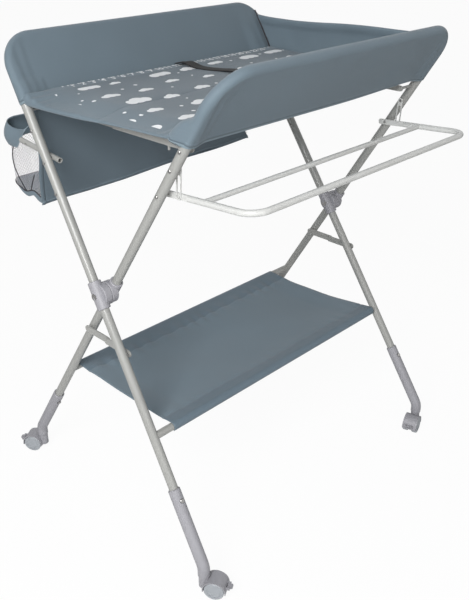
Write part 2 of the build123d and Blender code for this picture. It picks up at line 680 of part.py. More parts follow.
def snap_button(frame, side):
    """Sprung button in the sleeve, its nose in the slot of the leg."""
    out = button_dir(frame, side)
    axis = button_point(frame, side)
    nose = TUBE_R - 2 * TUBE_WALL
    head = SLEEVE_R
    button = rod(axis + out * nose, axis + out * head, BUTTON_STEM_R)
    return button + rod(axis + out * head, axis + out * (head + BUTTON_PROUD), BUTTON_R, BUTTON_PROUD / 3)


def axle_bar(radius, half):
    """Bar along the axle of a caster that trails along local X."""
    return rod((CASTER_TRAIL, -half, WHEEL_R), (CASTER_TRAIL, half, WHEEL_R), radius)


def brake_x():
    return CASTER_TRAIL + WHEEL_R + HOOD_CLEAR + HOOD_WALL + BRAKE_BARREL_R + RUN_GAP


def brake_pin(radius, half):
    return rod((brake_x(), -half, BRAKE_HEIGHT), (brake_x(), half, BRAKE_HEIGHT), radius)


def caster_hood():
    """Hood over twin wheels, with a middle web, a boss under the stem and ears for the brake."""
    half = WHEEL_GAP + WHEEL_WIDTH
    inner_r = WHEEL_R + HOOD_CLEAR
    outer_r = inner_r + HOOD_WALL
    low = (Align.CENTER, Align.CENTER, Align.MIN)
    above = Pos(CASTER_TRAIL, 0, HOOD_LOW) * Box(4 * outer_r, 4 * half, 2 * CASTER_HEIGHT, align=low)
    boss = rod((0, 0, HOOD_LOW), (0, 0, CASTER_HEIGHT), CASTER_BOSS_R, EDGE_SOFT)
    shell = (axle_bar(outer_r, half) + boss) & above
    shell -= axle_bar(inner_r, half)
    ear_length = BRAKE_BARREL_R * 2 + RUN_GAP + HOOD_WALL
    for side in SIDES.values():
        ear = Box(ear_length, BRAKE_EAR, BRAKE_BARREL_R * 2, align=(Align.MAX, Align.CENTER, Align.CENTER))
        place = side * (BRAKE_HALF + RUN_GAP + BRAKE_EAR / 2)
        shell += Pos(brake_x() + BRAKE_BARREL_R, place, BRAKE_HEIGHT) * ear - axle_bar(inner_r, half)
    shell -= brake_pin(BRAKE_PIN_R + PIN_PLAY, half)
    web = axle_bar(inner_r, HOOD_WEB) & Pos(0, 0, HOOD_LOW - AXLE_R) * above
    shell += web - axle_bar(AXLE_R + PIN_PLAY, half)
    return shell + rod((0, 0, CASTER_HEIGHT), (0, 0, CASTER_HEIGHT + SWIVEL_GAP + STEM_LENGTH), STEM_R)


def caster_wheels():
    """Two wheels with dished faces on one axle."""
    half = WHEEL_GAP + WHEEL_WIDTH
    axle_half = half - 2 * WHEEL_RECESS
    pieces = [axle_bar(AXLE_R, axle_half)]
    for side in SIDES.values():
        near = (CASTER_TRAIL, side * WHEEL_GAP, WHEEL_R)
        far = (CASTER_TRAIL, side * half, WHEEL_R)
        floor = (CASTER_TRAIL, side * (half - WHEEL_RECESS), WHEEL_R)
        wheel = rod(near, far, WHEEL_R, EDGE_SOFT) - rod(floor, far, WHEEL_RECESS_R)
        pieces.append(wheel - axle_bar(AXLE_R + PIN_PLAY, axle_half + PIN_PLAY))
    return Compound(children=pieces)


def brake_tab():
    """Foot lever of the wheel brake, with its pin."""
    plate = Box(BRAKE_LENGTH, 2 * BRAKE_HALF, BRAKE_THICK, align=(Align.MIN, Align.CENTER, Align.CENTER))
    plate = fillet(plate.edges().filter_by(Axis.Z).group_by(Axis.X)[-1], BRAKE_HALF / 2)
    tab = Pos(brake_x(), 0, BRAKE_HEIGHT) * plate + brake_pin(BRAKE_BARREL_R, BRAKE_HALF)
    return tab + brake_pin(BRAKE_PIN_R, BRAKE_HALF + BRAKE_EAR)


def add_frames():
    for frame_name, frame in FRAMES.items():
        for side_name, side in SIDES.items():
            nodes[f"{frame_name}_leg_{side_name}"] = leg(frame, side)
            nodes[f"hub_{frame_name}_{side_name}"] = hub_half(frame, side)
        nodes[f"{frame_name}_top_rail"] = top_rail(frame)
    nodes["shelf_front_bar"] = shelf_bar(REAR)
    nodes["shelf_rear_bar"] = shelf_bar(FRONT)
    nodes["hub_bolts"] = hub_bolts()


def add_links():
    """Folding struts under the tray, folding braces below the hubs, and the rivets of the legs."""
    struts, strut_pins = folding_links(TRAY_HEIGHT, STRUT_THICK, STRUT_WIDTH, STRUT_INSET, STRUT_LAP)
    braces, brace_pins = folding_links(BRACE_HEIGHT, BRACE_THICK, BRACE_WIDTH, 0, BRACE_LAP)
    for side_name, side in SIDES.items():
        nodes[f"strut_rear_{side_name}"] = struts[side_name][0]
        nodes[f"strut_front_{side_name}"] = struts[side_name][1] + strut_lug(side)
        nodes[f"brace_front_{side_name}"], nodes[f"brace_rear_{side_name}"] = braces[side_name]
    rear_heads = rivets(REAR, [TRAY_HEIGHT - drop for drop in REAR_RIVET_DROPS], LEFT_FACES)
    front_heads = rivets(FRONT, (RACK_HEIGHT, STAY_HEIGHT, TRAY_HEIGHT), SIDES)
    nodes["rear_leg_rivets"] = Compound(children=list(rear_heads.solids()) + strut_pins + brace_pins)
    nodes["front_leg_rivets"] = Compound(children=list(front_heads.solids()) + rack_studs())


def add_soft_goods():
    edge = END_WALL_X + END_WALL_THICK / 2 + END_WALL_LAP
    nodes["rear_wall_cover"] = wall_cover(REAR, COVER_REACH, edge - leg_x(REAR, 1, RAIL_TOPS[REAR]))
    nodes["front_wall_cover"] = wall_cover(FRONT, COVER_REACH, COVER_REACH)
    nodes["end_wall_cover"] = end_wall()
    nodes["pad_rear"] = pad_half(REAR)
    nodes["pad_front"] = pad_half(FRONT)
    nodes["safety_strap"] = safety_strap()
    nodes["shelf_sling"] = shelf_sling()
    nodes["storage_bag"] = storage_bag()
    nodes["bag_mesh"] = bag_mesh()
    nodes["bag_arms"] = bag_arms()


def add_rack():
    nodes["rack_tube"] = rack_tube()
    nodes["rack_crossbar"] = rack_crossbar()
    for side_name, side in SIDES.items():
        nodes[f"rack_bracket_{side_name}"] = rack_bracket(side)
        nodes[f"rack_stay_{side_name}"] = rack_stay(side)


def add_feet():
    """The rear frame's legs reach the floor at the front, and the front frame's at the rear."""
    for end_name, frame in (("front", REAR), ("rear", FRONT)):
        for side_name, side in SIDES.items():
            corner = f"{end_name}_{side_name}"
            foot = leg_point(frame, side, BEND_HEIGHT)
            place = Pos(foot.X, foot.Y, 0) * Rot(0, 0, CASTER_ANGLES[corner])
            nodes[f"foot_sleeve_{corner}"] = foot_sleeve(frame, side)
            nodes[f"snap_button_{corner}"] = snap_button(frame, side)
            nodes[f"caster_hood_{corner}"] = place * caster_hood()
            nodes[f"caster_wheels_{corner}"] = place * caster_wheels()
            nodes[f"brake_tab_{corner}"] = place * brake_tab()


add_frames()
add_links()
add_soft_goods()
add_rack()
add_feet()

os.makedirs("parts", exist_ok=True)
for node_name, shape in nodes.items():
    export_step(shape, f"parts/{node_name}.step")
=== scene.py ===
"""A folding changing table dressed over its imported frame: cloth walls, pad, sling shelf and net bag.

Metres, Z up, the floor at zero. X runs along the table and the drying rack is towards -Y.
"""

import json
import math

import bmesh
import bpy
import numpy as np
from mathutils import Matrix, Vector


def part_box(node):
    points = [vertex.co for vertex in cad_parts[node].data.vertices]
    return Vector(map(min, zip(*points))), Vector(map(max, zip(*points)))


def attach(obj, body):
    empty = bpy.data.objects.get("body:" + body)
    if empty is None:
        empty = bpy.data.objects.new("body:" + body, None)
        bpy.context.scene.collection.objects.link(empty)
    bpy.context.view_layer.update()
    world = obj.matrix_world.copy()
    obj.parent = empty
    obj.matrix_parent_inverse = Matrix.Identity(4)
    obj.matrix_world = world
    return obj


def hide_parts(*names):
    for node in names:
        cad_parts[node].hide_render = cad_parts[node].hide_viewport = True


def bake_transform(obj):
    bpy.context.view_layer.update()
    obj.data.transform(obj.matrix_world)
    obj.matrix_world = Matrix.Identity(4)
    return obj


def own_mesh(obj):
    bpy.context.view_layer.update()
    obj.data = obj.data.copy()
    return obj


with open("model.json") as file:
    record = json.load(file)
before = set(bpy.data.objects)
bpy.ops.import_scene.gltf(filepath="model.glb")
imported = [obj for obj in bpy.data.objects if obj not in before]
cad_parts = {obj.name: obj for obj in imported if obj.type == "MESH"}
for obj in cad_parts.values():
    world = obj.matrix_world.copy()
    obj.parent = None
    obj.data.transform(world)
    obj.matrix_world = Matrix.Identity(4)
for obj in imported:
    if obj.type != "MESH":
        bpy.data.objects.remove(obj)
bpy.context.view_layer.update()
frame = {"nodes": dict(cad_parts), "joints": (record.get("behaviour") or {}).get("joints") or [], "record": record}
joint_at = {j["name"]: j["pos_m"] for j in frame["joints"] if "pos_m" in j}

# Stance of the two frames, read from the fold axis and the tray's hinges
REAR, FRONT = 1, -1
LEFT, RIGHT = -1, 1
HUB_Z = joint_at["frame_fold"][2]
TRAY_Z = joint_at["tray_knuckle"][2]
TRAY_Y = joint_at["tray_rear_drop"][1]
LEG_SLOPE = TRAY_Y / (TRAY_Z - HUB_Z)
LEAN_COS = math.cos(math.atan(LEG_SLOPE))
LEAN_SIN = math.sin(math.atan(LEG_SLOPE))
LEG_SPLAY = 0.0525  # the legs draw in by this share of their height above the hubs
FRAME_HALF = 0.360  # half the distance between the legs of one frame at the hubs
FRAME_SHIFT = 0.016  # the rear frame stands this far to the left, the front one to the right
TUBE_R = 0.0095

# Walls
RAIL_Z = {
    REAR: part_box("rear_top_rail")[1].z - TUBE_R * LEAN_COS,
    FRONT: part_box("front_top_rail")[1].z - TUBE_R * LEAN_COS,
}
WALL_HEM_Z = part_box("rear_wall_cover")[0].z + 0.003
WALL_ROLL = 0.0110  # from the rail's axis to the outside of the cloth
WALL_HEM = 0.0030  # half thickness at the lower hem
WALL_CORNER = {REAR: 0.0715, FRONT: 0.080}
WALL_SIDE_FADE = 0.035  # the roll over a leg fades into the flat cloth over this width
WALL_DRIFT = 0.0012  # height of the cloth's broad unevenness
PULL_DEEP = 0.0010  # height of the pulled folds beside the legs
PULL_WAVE = 0.026
HEM_ROUND = 0.004
HEM_LIFT = {LEFT: 0.003, RIGHT: 0.009}  # the hem rises this much towards each end
HEM_LIFT_RUN = {LEFT: 0.05, RIGHT: 0.30}  # over this length
HEM_LIFT_TALL = 0.035  # and fades out by this height
FLARE = {REAR: 0.006, FRONT: 0.036}  # a wall swells this much over the pad at its lower left corner
FLARE_IN = 0.020  # middle of the swell from the wall's end
FLARE_UP = 0.006  # and from its hem
FLARE_SPAN = 0.046
# width of the painted highlight along a wall's lower hem; a painted shade line in the fold lies just above it
HEM_LIT_BAND = 0.007
END_WALL_TOP_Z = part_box("end_wall_cover")[1].z
END_WALL_X = sum(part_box("end_wall_cover")[i].x for i in (0, 1)) / 2
END_WALL_ROLL = 0.0055  # half thickness at the rolled upper edge
END_WALL_HALF = 0.0026  # half thickness below it
SEAM_R = 0.0016
SEAM_OFF_RAIL = 0.0105  # the seam's cord stands off the rear wall's middle
SEAM_OFF_WALL = 0.005  # and inside the end wall's middle

# Pad and strap
PAD_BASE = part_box("pad_rear")[0].z
PAD_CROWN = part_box("pad_rear")[1].z
PAD_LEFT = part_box("pad_front")[0].x - 0.004  # at the fold line
PAD_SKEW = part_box("pad_rear")[0].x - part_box("pad_front")[0].x  # the left edge runs out at the rear
PAD_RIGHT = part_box("pad_rear")[1].x
PAD_REACH = 0.211  # from the fold line to the seam under a wall
PAD_ROLL = 0.008
FOLD_ROLL = 0.0006  # the halves meet almost square at the fold line
PAD_RIM_RISE = 0.006  # the front half's free left rim lies this much higher beneath, clear of the strut
STRAP_X = sum(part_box("safety_strap")[i].x for i in (0, 1)) / 2
STRAP_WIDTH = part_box("safety_strap")[1].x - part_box("safety_strap")[0].x
STRAP_THICK = 0.0018
STRAP_WANDER = 0.042  # its rear half runs this far to the left

# Shelf sling
SHELF_Z = (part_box("shelf_front_bar")[0].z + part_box("shelf_front_bar")[1].z) / 2
SHELF_Y = LEG_SLOPE * (HUB_Z - SHELF_Z)
SLING_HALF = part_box("shelf_sling")[1].x
SLING_ROLL = 0.0095
SLING_SHORT = 0.024  # the right end is cut shorter at the rear bar
SLING_SAG = 0.016
SLING_DRAW = 0.004  # the free ends draw in this much
HEM_DEEP = {REAR: 0.042, FRONT: 0.028}
PUCKER = {REAR: 0.0020, FRONT: 0.0006}  # height of the puckers along a hem
HEM_PAINTED_SHADE = (0.80, 0.82, 0.84)  # painted shade: the hems are darker, as two layers of cloth let less light through

# Bag
BAG_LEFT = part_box("storage_bag")[0].x + 0.001
BAG_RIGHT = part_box("storage_bag")[1].x
BAG_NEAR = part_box("storage_bag")[0].y
BAG_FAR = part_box("storage_bag")[1].y
BAG_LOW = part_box("storage_bag")[0].z
BAG_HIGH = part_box("storage_bag")[1].z
BAG_DEEP = BAG_FAR - BAG_NEAR
POUCH_CORNER = 0.016
ARM_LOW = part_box("bag_arms")[0].z
PANEL_FLARE = 0.006  # the panel's left edge stands out this much below the arm
LIP_FROM = 0.015  # the lip starts this far round the end of the pouch
LIP_RIM = 0.837  # height of the lip's upper edge above the floor
LIP_EDGE = 0.789  # height of its lower edge along the back
LIP_POINT = 0.059  # depth of the lip's point at each end
ARM_HOLD = 0.9  # share of the lip's bulge that the arm beside it takes away
NET_TOP = 0.796  # where the net is bare of the lip, beside the arms
BASE_RISE = {"end": 0.018, "back": 0.030}
NET_CELL = 0.0080
NET_STRAND = 0.00044

# Colours, linear
SLATE = (0.125, 0.168, 0.200, 1)
SLATE_LIGHT = (0.190, 0.240, 0.275, 1)
# painted light: slate lightened for the sling
SLATE_PAINTED_LIGHT = (0.143, 0.192, 0.229, 1)
# painted shade: slate darkened for the bag panel, which lies in shade under the tray
SLATE_PAINTED_SHADE = (0.098, 0.131, 0.156, 1)
PRINT_WHITE = (0.800, 0.820, 0.840, 1)
PRINT_GROUND = (0.74, 0.75, 0.77, 1)  # the print darkens the cloth inside its border
TUBE_GREY = (0.300, 0.302, 0.289, 1)
RACK_SILVER = (0.545, 0.550, 0.537, 1)
PLASTIC_GREY = (0.290, 0.288, 0.310, 1)
WHEEL_GREY = (0.310, 0.330, 0.352, 1)
STEEL = (0.340, 0.335, 0.330, 1)
NET_GREY = (0.500, 0.485, 0.505, 1)
WEBBING = (0.011, 0.010, 0.010, 1)
ELASTIC = (0.020, 0.018, 0.022, 1)


def leg_x(side, which, z):
    return side * (FRAME_HALF - LEG_SPLAY * (z - HUB_Z)) - which * FRAME_SHIFT


def smooth_step(t):
    t = np.clip(t, 0, 1)
    return t * t * (3 - 2 * t)


def bell(away, width):
    """Bell curve: one in the middle, falling off over the width."""
    return np.exp(-((away / width) ** 2))


def round_edge(t):
    """Quarter circle: none at the edge, one from a radius in."""
    return np.sqrt(1 - (1 - np.clip(t, 0, 1)) ** 2)


def there_and_back(face, back):
    """Columns of one face, then those of the other in reverse, without the rims that they share."""
    return np.concatenate([face, back[:, -2:0:-1]], axis=1)


def close_to_both_ends(count):
    """Stations from 0 to 1 that crowd towards both ends, as half a cosine wave."""
    return (1 - np.cos(np.pi * np.linspace(0, 1, count))) / 2


def ripple(u, v, waves, seed):
    """Soft unevenness of cloth: a sum of sine waves of random direction and phase, about one high."""
    rng = np.random.default_rng(seed)
    total = np.zeros(np.broadcast(u, v).shape)
    for wave_length, weight in waves:
        for turn, phase in rng.uniform(0, 2 * np.pi, (5, 2)):
            total += weight * np.sin((u * np.cos(turn) + v * np.sin(turn)) * 2 * np.pi / wave_length + phase)
    return total / (5 * sum(weight for _, weight in waves)) * 2.2


def add_object(name, data):
    made = bpy.data.objects.new(name, data)
    bpy.context.scene.collection.objects.link(made)
    return made


def surface(name, points, uv, material, loop=False, weld=False, thick=0.0):
    """Mesh of a grid of points, uv in metres. A loop joins the last column to the first."""
    rows, columns = points.shape[:2]
    index = np.arange(rows * columns).reshape(rows, columns)
    right = np.roll(index, -1, axis=1) if loop else index[:, 1:]
    left = index if loop else index[:, :-1]
    quads = np.stack([left[:-1], right[:-1], right[1:], left[1:]], axis=-1).reshape(-1, 4)
    mesh = bpy.data.meshes.new(name)
    mesh.from_pydata(points.reshape(-1, 3).tolist(), [], quads.tolist())
    layer = mesh.uv_layers.new(name="cloth")
    layer.data.foreach_set("uv", uv.reshape(-1, 2)[quads.reshape(-1)].astype(np.float32).ravel())
    piece = add_object(name, mesh)
    mesh.materials.append(material)
    if weld:
        weld_and_face_out(mesh)
    mesh.polygons.foreach_set("use_smooth", np.ones(len(mesh.polygons), bool))
    if thick:
        solid = piece.modifiers.new("cloth", "SOLIDIFY")
        solid.thickness = thick
        solid.offset = 0
    return piece


def weld_and_face_out(mesh):
    """Joins coincident points and turns all faces outwards."""
    work = bmesh.new()
    work.from_mesh(mesh)
    bmesh.ops.remove_doubles(work, verts=work.verts, dist=2e-6)
    bmesh.ops.dissolve_degenerate(work, edges=work.edges, dist=1e-7)
    bmesh.ops.recalc_face_normals(work, faces=work.faces)
    work.to_mesh(mesh)
    work.free()


def tube(name, path, radius, material, sides=8):
    """Round section carried along a path of points. A fixed slanting direction sets where rings start."""
    path = np.asarray(path, float)
    tangent = np.gradient(path, axis=0)
    tangent /= np.linalg.norm(tangent, axis=1, keepdims=True)
    across = np.cross(tangent, (0.31, 0.22, 0.93))
    across /= np.linalg.norm(across, axis=1, keepdims=True)
    other = np.cross(tangent, across)
    turn = np.linspace(0, 2 * np.pi, sides, endpoint=False)
    ring = across[:, None] * np.cos(turn)[None, :, None] + other[:, None] * np.sin(turn)[None, :, None]
    points = path[:, None] + radius * ring
    ends = np.repeat(path[[0, -1]][:, None], sides, axis=1)
    points = np.concatenate([ends[:1], points, ends[1:]])
    uv = np.zeros(points.shape[:2] + (2,))
    uv[..., 0] = np.linspace(0, 1, sides)[None]
    return surface(name, points, uv, material, loop=True, weld=True)


# Shared finishes


def new_group(name, inputs, outputs):
    """Shader node group with named sockets, and its input and output nodes."""
    group = bpy.data.node_groups.new(name, "ShaderNodeTree")
    for label, kind, value in inputs:
        socket = group.interface.new_socket(label, in_out="INPUT", socket_type=kind)
        if value is not None:
            socket.default_value = value
    for label, kind in outputs:
        group.interface.new_socket(label, in_out="OUTPUT", socket_type=kind)
    return group, group.nodes.new("NodeGroupInput"), group.nodes.new("NodeGroupOutput")


class Wiring:
    """Adds nodes to one tree: each call makes a node, sets its inputs and returns the wanted output."""

    def __init__(self, tree):
        self.tree = tree

    def feed(self, socket, value):
        if isinstance(value, bpy.types.NodeSocket):
            self.tree.links.new(value, socket)
        else:
            socket.default_value = value

    def node(self, kind, inputs=None, output=0, **settings):
        made = self.tree.nodes.new(kind)
        for key, value in settings.items():
            setattr(made, key, value)
        for key, value in (inputs or {}).items():
            self.feed(made.inputs[key], value)
        return made.outputs[output]

    def math(self, operation, a, b=0.0, c=0.0):
        return self.node("ShaderNodeMath", {0: a, 1: b, 2: c}, operation=operation)

    def vector(self, operation, a, b=(0, 0, 0), output=0):
        return self.node("ShaderNodeVectorMath", {0: a, 1: b}, output, operation=operation)

    def blend(self, factor, a, b, kind="MIX"):
        made = self.tree.nodes.new("ShaderNodeMix")
        made.data_type = "RGBA"
        made.blend_type = kind
        self.feed(made.inputs[0], factor)
        self.feed(made.inputs[6], a)
        self.feed(made.inputs[7], b)
        return made.outputs[2]

    def noise(self, vector, scale, detail):
        return self.node("ShaderNodeTexNoise", {"Vector": vector, "Scale": scale, "Detail": detail})

    def cells(self, vector, scale, randomness):
        """Outputs of flat cells, each with its own place, colour and distance."""
        made = self.tree.nodes.new("ShaderNodeTexVoronoi")
        made.voronoi_dimensions = "2D"
        self.feed(made.inputs["Vector"], vector)
        made.inputs["Scale"].default_value = scale
        made.inputs["Randomness"].default_value = randomness
        return made.outputs

    def parts(self, value, kind="XYZ"):
        """Outputs that split a vector or a colour."""
        made = self.tree.nodes.new(f"ShaderNodeSeparate{kind}")
        self.feed(made.inputs[0], value)
        return made.outputs

    def between(self, value, low, high):
        above = self.math("GREATER_THAN", value, low)
        return self.math("MULTIPLY", above, self.math("LESS_THAN", value, high))

    def toned(self, colour, tone):
        grey = self.node("ShaderNodeCombineColor", {0: tone, 1: tone, 2: tone})
        return self.blend(1.0, colour, grey, "MULTIPLY")

    def ramp(self, value, low, high):
        """Value carried from the range low to high onto 0 to 1, held at the ends."""
        return self.node("ShaderNodeMapRange", {"Value": value, "From Min": low, "From Max": high})


def woven_group():
    """Plain weave: the product of two sine waves along the threads, with broad and fine uneven tone."""
    group, given, out = new_group(
        "woven_cloth",
        [
            ("Vector", "NodeSocketVector", None),
            ("Colour", "NodeSocketColor", SLATE),
            ("Threads", "NodeSocketFloat", 1400.0),
        ],
        [("Colour", "NodeSocketColor"), ("Roughness", "NodeSocketFloat"), ("Height", "NodeSocketFloat")],
    )
    wire = Wiring(group)
    place = given.outputs["Vector"]
    across, along, _ = wire.parts(place)
    turns = wire.math("MULTIPLY", given.outputs["Threads"], 2 * math.pi)
    warp = wire.math("SINE", wire.math("MULTIPLY", across, turns))
    weft = wire.math("SINE", wire.math("MULTIPLY", along, turns))
    weave = wire.math("MULTIPLY_ADD", wire.math("MULTIPLY", warp, weft), 0.5, 0.5)
    broad = wire.noise(place, 7.0, 3.0)
    fine = wire.noise(place, 420.0, 2.0)
    tone = wire.math("MULTIPLY_ADD", broad, 0.22, 0.86)
    tone = wire.math("MULTIPLY_ADD", fine, 0.10, tone)
    tone = wire.math("MULTIPLY_ADD", weave, 0.08, tone)
    tone = wire.math("SUBTRACT", tone, 0.06)
    wire.feed(out.inputs["Colour"], wire.toned(given.outputs["Colour"], tone))
    wire.feed(out.inputs["Roughness"], wire.math("MULTIPLY_ADD", broad, 0.16, 0.50))
    wire.feed(out.inputs["Height"], wire.math("MULTIPLY_ADD", fine, 0.5, weave))
    return group


def stitch_group():
    """Row of stitches: short dashes along one coordinate where the other is near the row's line."""
    group, given, out = new_group(
        "stitch_row",
        [
            ("Along", "NodeSocketFloat", 0.0),
            ("Across", "NodeSocketFloat", 0.0),
            ("Pitch", "NodeSocketFloat", 0.0045),
        ],
        [("Thread", "NodeSocketFloat"), ("Groove", "NodeSocketFloat")],
    )
    wire = Wiring(group)
    away = wire.math("ABSOLUTE", given.outputs["Across"])
    dash = wire.math("FRACT", wire.math("DIVIDE", given.outputs["Along"], given.outputs["Pitch"]))
    dash = wire.math("LESS_THAN", wire.math("ABSOLUTE", wire.math("SUBTRACT", dash, 0.5)), 0.34)
    line = wire.math("SUBTRACT", 1.0, wire.ramp(away, 0.0003, 0.0007))
    wire.feed(out.inputs["Thread"], wire.math("MULTIPLY", dash, line))
    wire.feed(out.inputs["Groove"], wire.math("SUBTRACT", 1.0, wire.ramp(away, 0.0004, 0.0022)))
    return group


def coat_group():
    """Sprayed or moulded skin: fine orange-peel height and a slow change of tone and gloss."""
    group, given, out = new_group(
        "coated_skin",
        [
            ("Colour", "NodeSocketColor", TUBE_GREY),
            ("Grain", "NodeSocketFloat", 900.0),
            ("Rough", "NodeSocketFloat", 0.35),
        ],
        [("Colour", "NodeSocketColor"), ("Roughness", "NodeSocketFloat"), ("Height", "NodeSocketFloat")],
    )
    wire = Wiring(group)
    place = wire.node("ShaderNodeTexCoord", output="Object")
    slow = wire.noise(place, 11.0, 3.0)
    fine = wire.noise(place, given.outputs["Grain"], 2.0)
    tone = wire.math("MULTIPLY_ADD", slow, 0.14, 0.90)
    tone = wire.math("MULTIPLY_ADD", fine, 0.06, tone)
    wire.feed(out.inputs["Colour"], wire.toned(given.outputs["Colour"], tone))
    rough = wire.math("MULTIPLY_ADD", slow, 0.14, wire.math("SUBTRACT", given.outputs["Rough"], 0.07))
    wire.feed(out.inputs["Roughness"], rough)
    wire.feed(out.inputs["Height"], fine)
    return group


def print_group():
    """Nursery print: one cloud of four puffs in each jittered cell, and small dots between the clouds."""
    group, given, out = new_group(
        "cloud_print", [("Vector", "NodeSocketVector", None)], [("Mask", "NodeSocketFloat")]
    )
    wire = Wiring(group)
    cell = 0.090
    place = wire.vector("MULTIPLY", given.outputs["Vector"], (1 / cell, 1.2 / cell, 0))
    cells = wire.cells(place, 1.0, 0.38)
    local = wire.vector("SUBTRACT", place, cells["Position"])
    local = wire.vector("MULTIPLY", local, (cell, cell / 1.2, 0))
    chance = wire.parts(cells["Color"], "Color")
    size = wire.math("MULTIPLY_ADD", chance[0], 0.0090, 0.0075)
    inside = 0.0
    for across, up, share in ((0.0, 0.0, 1.0), (-1.05, 0.28, 0.74), (1.00, 0.16, 0.80), (0.20, -0.30, 0.80)):
        shift_x = wire.math("MULTIPLY", size, across)
        shift_y = wire.math("MULTIPLY", size, -up)
        offset = wire.node("ShaderNodeCombineXYZ", {0: shift_x, 1: shift_y})
        puff = wire.vector("LENGTH", wire.vector("SUBTRACT", local, offset), output="Value")
        near = wire.math("SUBTRACT", wire.math("MULTIPLY", size, share), puff)
        inside = wire.math("MAXIMUM", near, inside)
    cloud = wire.ramp(inside, 0.0, 0.0006)
    dots = wire.cells(given.outputs["Vector"], 22.0, 0.8)
    dot_chance = wire.parts(dots["Color"], "Color")
    dot_size = wire.math("MULTIPLY_ADD", dot_chance[1], 0.06, 0.045)
    dot = wire.math("LESS_THAN", dots["Distance"], dot_size)
    dot = wire.math("MULTIPLY", dot, wire.math("GREATER_THAN", dot_chance[0], 0.35))
    clear = wire.math("GREATER_THAN", wire.vector("LENGTH", local, output="Value"), 0.033)
    wire.feed(out.inputs["Mask"], wire.math("MAXIMUM", cloud, wire.math("MULTIPLY", dot, clear)))
    return group


WOVEN = woven_group()
STITCH = stitch_group()
COAT = coat_group()
CLOUDS = print_group()


def new_material(name):
    material = bpy.data.materials.new(name)
    material.use_nodes = True
    wire = Wiring(material.node_tree)
    shader = material.node_tree.nodes["Principled BSDF"]
    return material, wire, shader


def place_group(wire, group, inputs):
    made = wire.tree.nodes.new("ShaderNodeGroup")
    made.node_tree = group
    for key, value in inputs.items():
        wire.feed(made.inputs[key], value)
    return made


def coated_material(name, colour, rough, grain, depth, metal=0.0, coat=0.0):
    material, wire, shader = new_material(name)
    skin = place_group(wire, COAT, {"Colour": colour, "Rough": rough, "Grain": grain})
    wire.feed(shader.inputs["Base Color"], skin.outputs["Colour"])
    wire.feed(shader.inputs["Roughness"], skin.outputs["Roughness"])
    shader.inputs["Metallic"].default_value = metal
    shader.inputs["Coat Weight"].default_value = coat
    bump = wire.node("ShaderNodeBump", {"Height": skin.outputs["Height"], "Distance": depth, "Strength": 0.6})
    wire.feed(shader.inputs["Normal"], bump)
    return material


def cloth_material(name, colour, threads=1400.0, depth=0.00025, sheen=0.12, paint=None, stitch=(), bands=()):
    """Woven cloth on the piece's own uv map.

    paint gives the masks of a print, and stitch adds rows of stitches.
    Each band tints the cloth between two levels of v.
    """
    material, wire, shader = new_material(name)
    place = wire.node("ShaderNodeUVMap", uv_map="cloth")
    cloth = place_group(wire, WOVEN, {"Vector": place, "Colour": colour, "Threads": threads})
    shade = cloth.outputs["Colour"]
    height = cloth.outputs["Height"]
    u, v, _ = wire.parts(place)
    for low, high, tint in bands:
        shade = wire.blend(wire.between(v, low, high), shade, (*tint, 1), "MULTIPLY")
    for line in stitch:
        row = place_group(wire, STITCH, {"Along": u, "Across": wire.math("SUBTRACT", v, line)})
        shade = wire.blend(row.outputs["Thread"], shade, SLATE_LIGHT)
        height = wire.math("SUBTRACT", height, wire.math("MULTIPLY", row.outputs["Groove"], 1.5))
    if paint:
        white, ground = paint(wire, place)
        shade = wire.blend(ground, shade, PRINT_GROUND, "MULTIPLY")
        shade = wire.blend(white, shade, PRINT_WHITE)
    wire.feed(shader.inputs["Base Color"], shade)
    wire.feed(shader.inputs["Roughness"], cloth.outputs["Roughness"])
    shader.inputs["Sheen Weight"].default_value = sheen
    shader.inputs["Specular IOR Level"].default_value = 0.35
    bump = wire.node("ShaderNodeBump", {"Height": height, "Distance": depth, "Strength": 0.5})
    wire.feed(shader.inputs["Normal"], bump)
    return material


RULER_LINE = 0.203  # the marks' middle, from the fold line
RULER_FROM = -0.285
RULER_TO = 0.340
RULER_STEP = 0.0254
NUMBER_SIZE = 0.020
NUMBER_BOLD = 0.0005  # the strokes grow by this much
NUMBER_DROP = 0.015  # the numbers' foot from the marks' middle
PRINT_LIFT = 0.0004
PRINT_LEFT = -0.318  # clouds and dots stay to the right of this
PRINT_REAR = 0.172  # and in front of this
GROUND_FADE = (-0.33, -0.22)  # the darker ground comes in between these
GROUND_REAR = 0.185
BARE_X = -1.0  # a place on the uv map that the print leaves bare


def pad_print(wire, place):
    """Print of the pad: white clouds and dots on a darker ground, and ruler marks along the rear seam.

    Returns the white mask and the ground's mask.
    """
    x, y, _ = wire.parts(place)
    clouds = place_group(wire, CLOUDS, {"Vector": place}).outputs["Mask"]
    right_of_border = wire.math("GREATER_THAN", x, PRINT_LEFT)
    field = wire.math("MULTIPLY", right_of_border, wire.math("LESS_THAN", y, PRINT_REAR))
    clouds = wire.math("MULTIPLY", clouds, field)
    ground = wire.math("MULTIPLY", wire.ramp(x, *GROUND_FADE), wire.math("LESS_THAN", y, GROUND_REAR))
    step = wire.math("FRACT", wire.math("DIVIDE", wire.math("SUBTRACT", x, RULER_FROM), RULER_STEP / 2))
    tick = wire.math("LESS_THAN", wire.math("ABSOLUTE", wire.math("SUBTRACT", step, 0.5)), 0.13)
    away = wire.math("ABSOLUTE", wire.math("SUBTRACT", y, RULER_LINE))
    tick = wire.math("MULTIPLY", tick, wire.math("LESS_THAN", away, 0.0045))
    tick = wire.math("MULTIPLY", tick, wire.between(x, RULER_FROM, RULER_TO))
    return wire.math("MAXIMUM", clouds, tick), ground


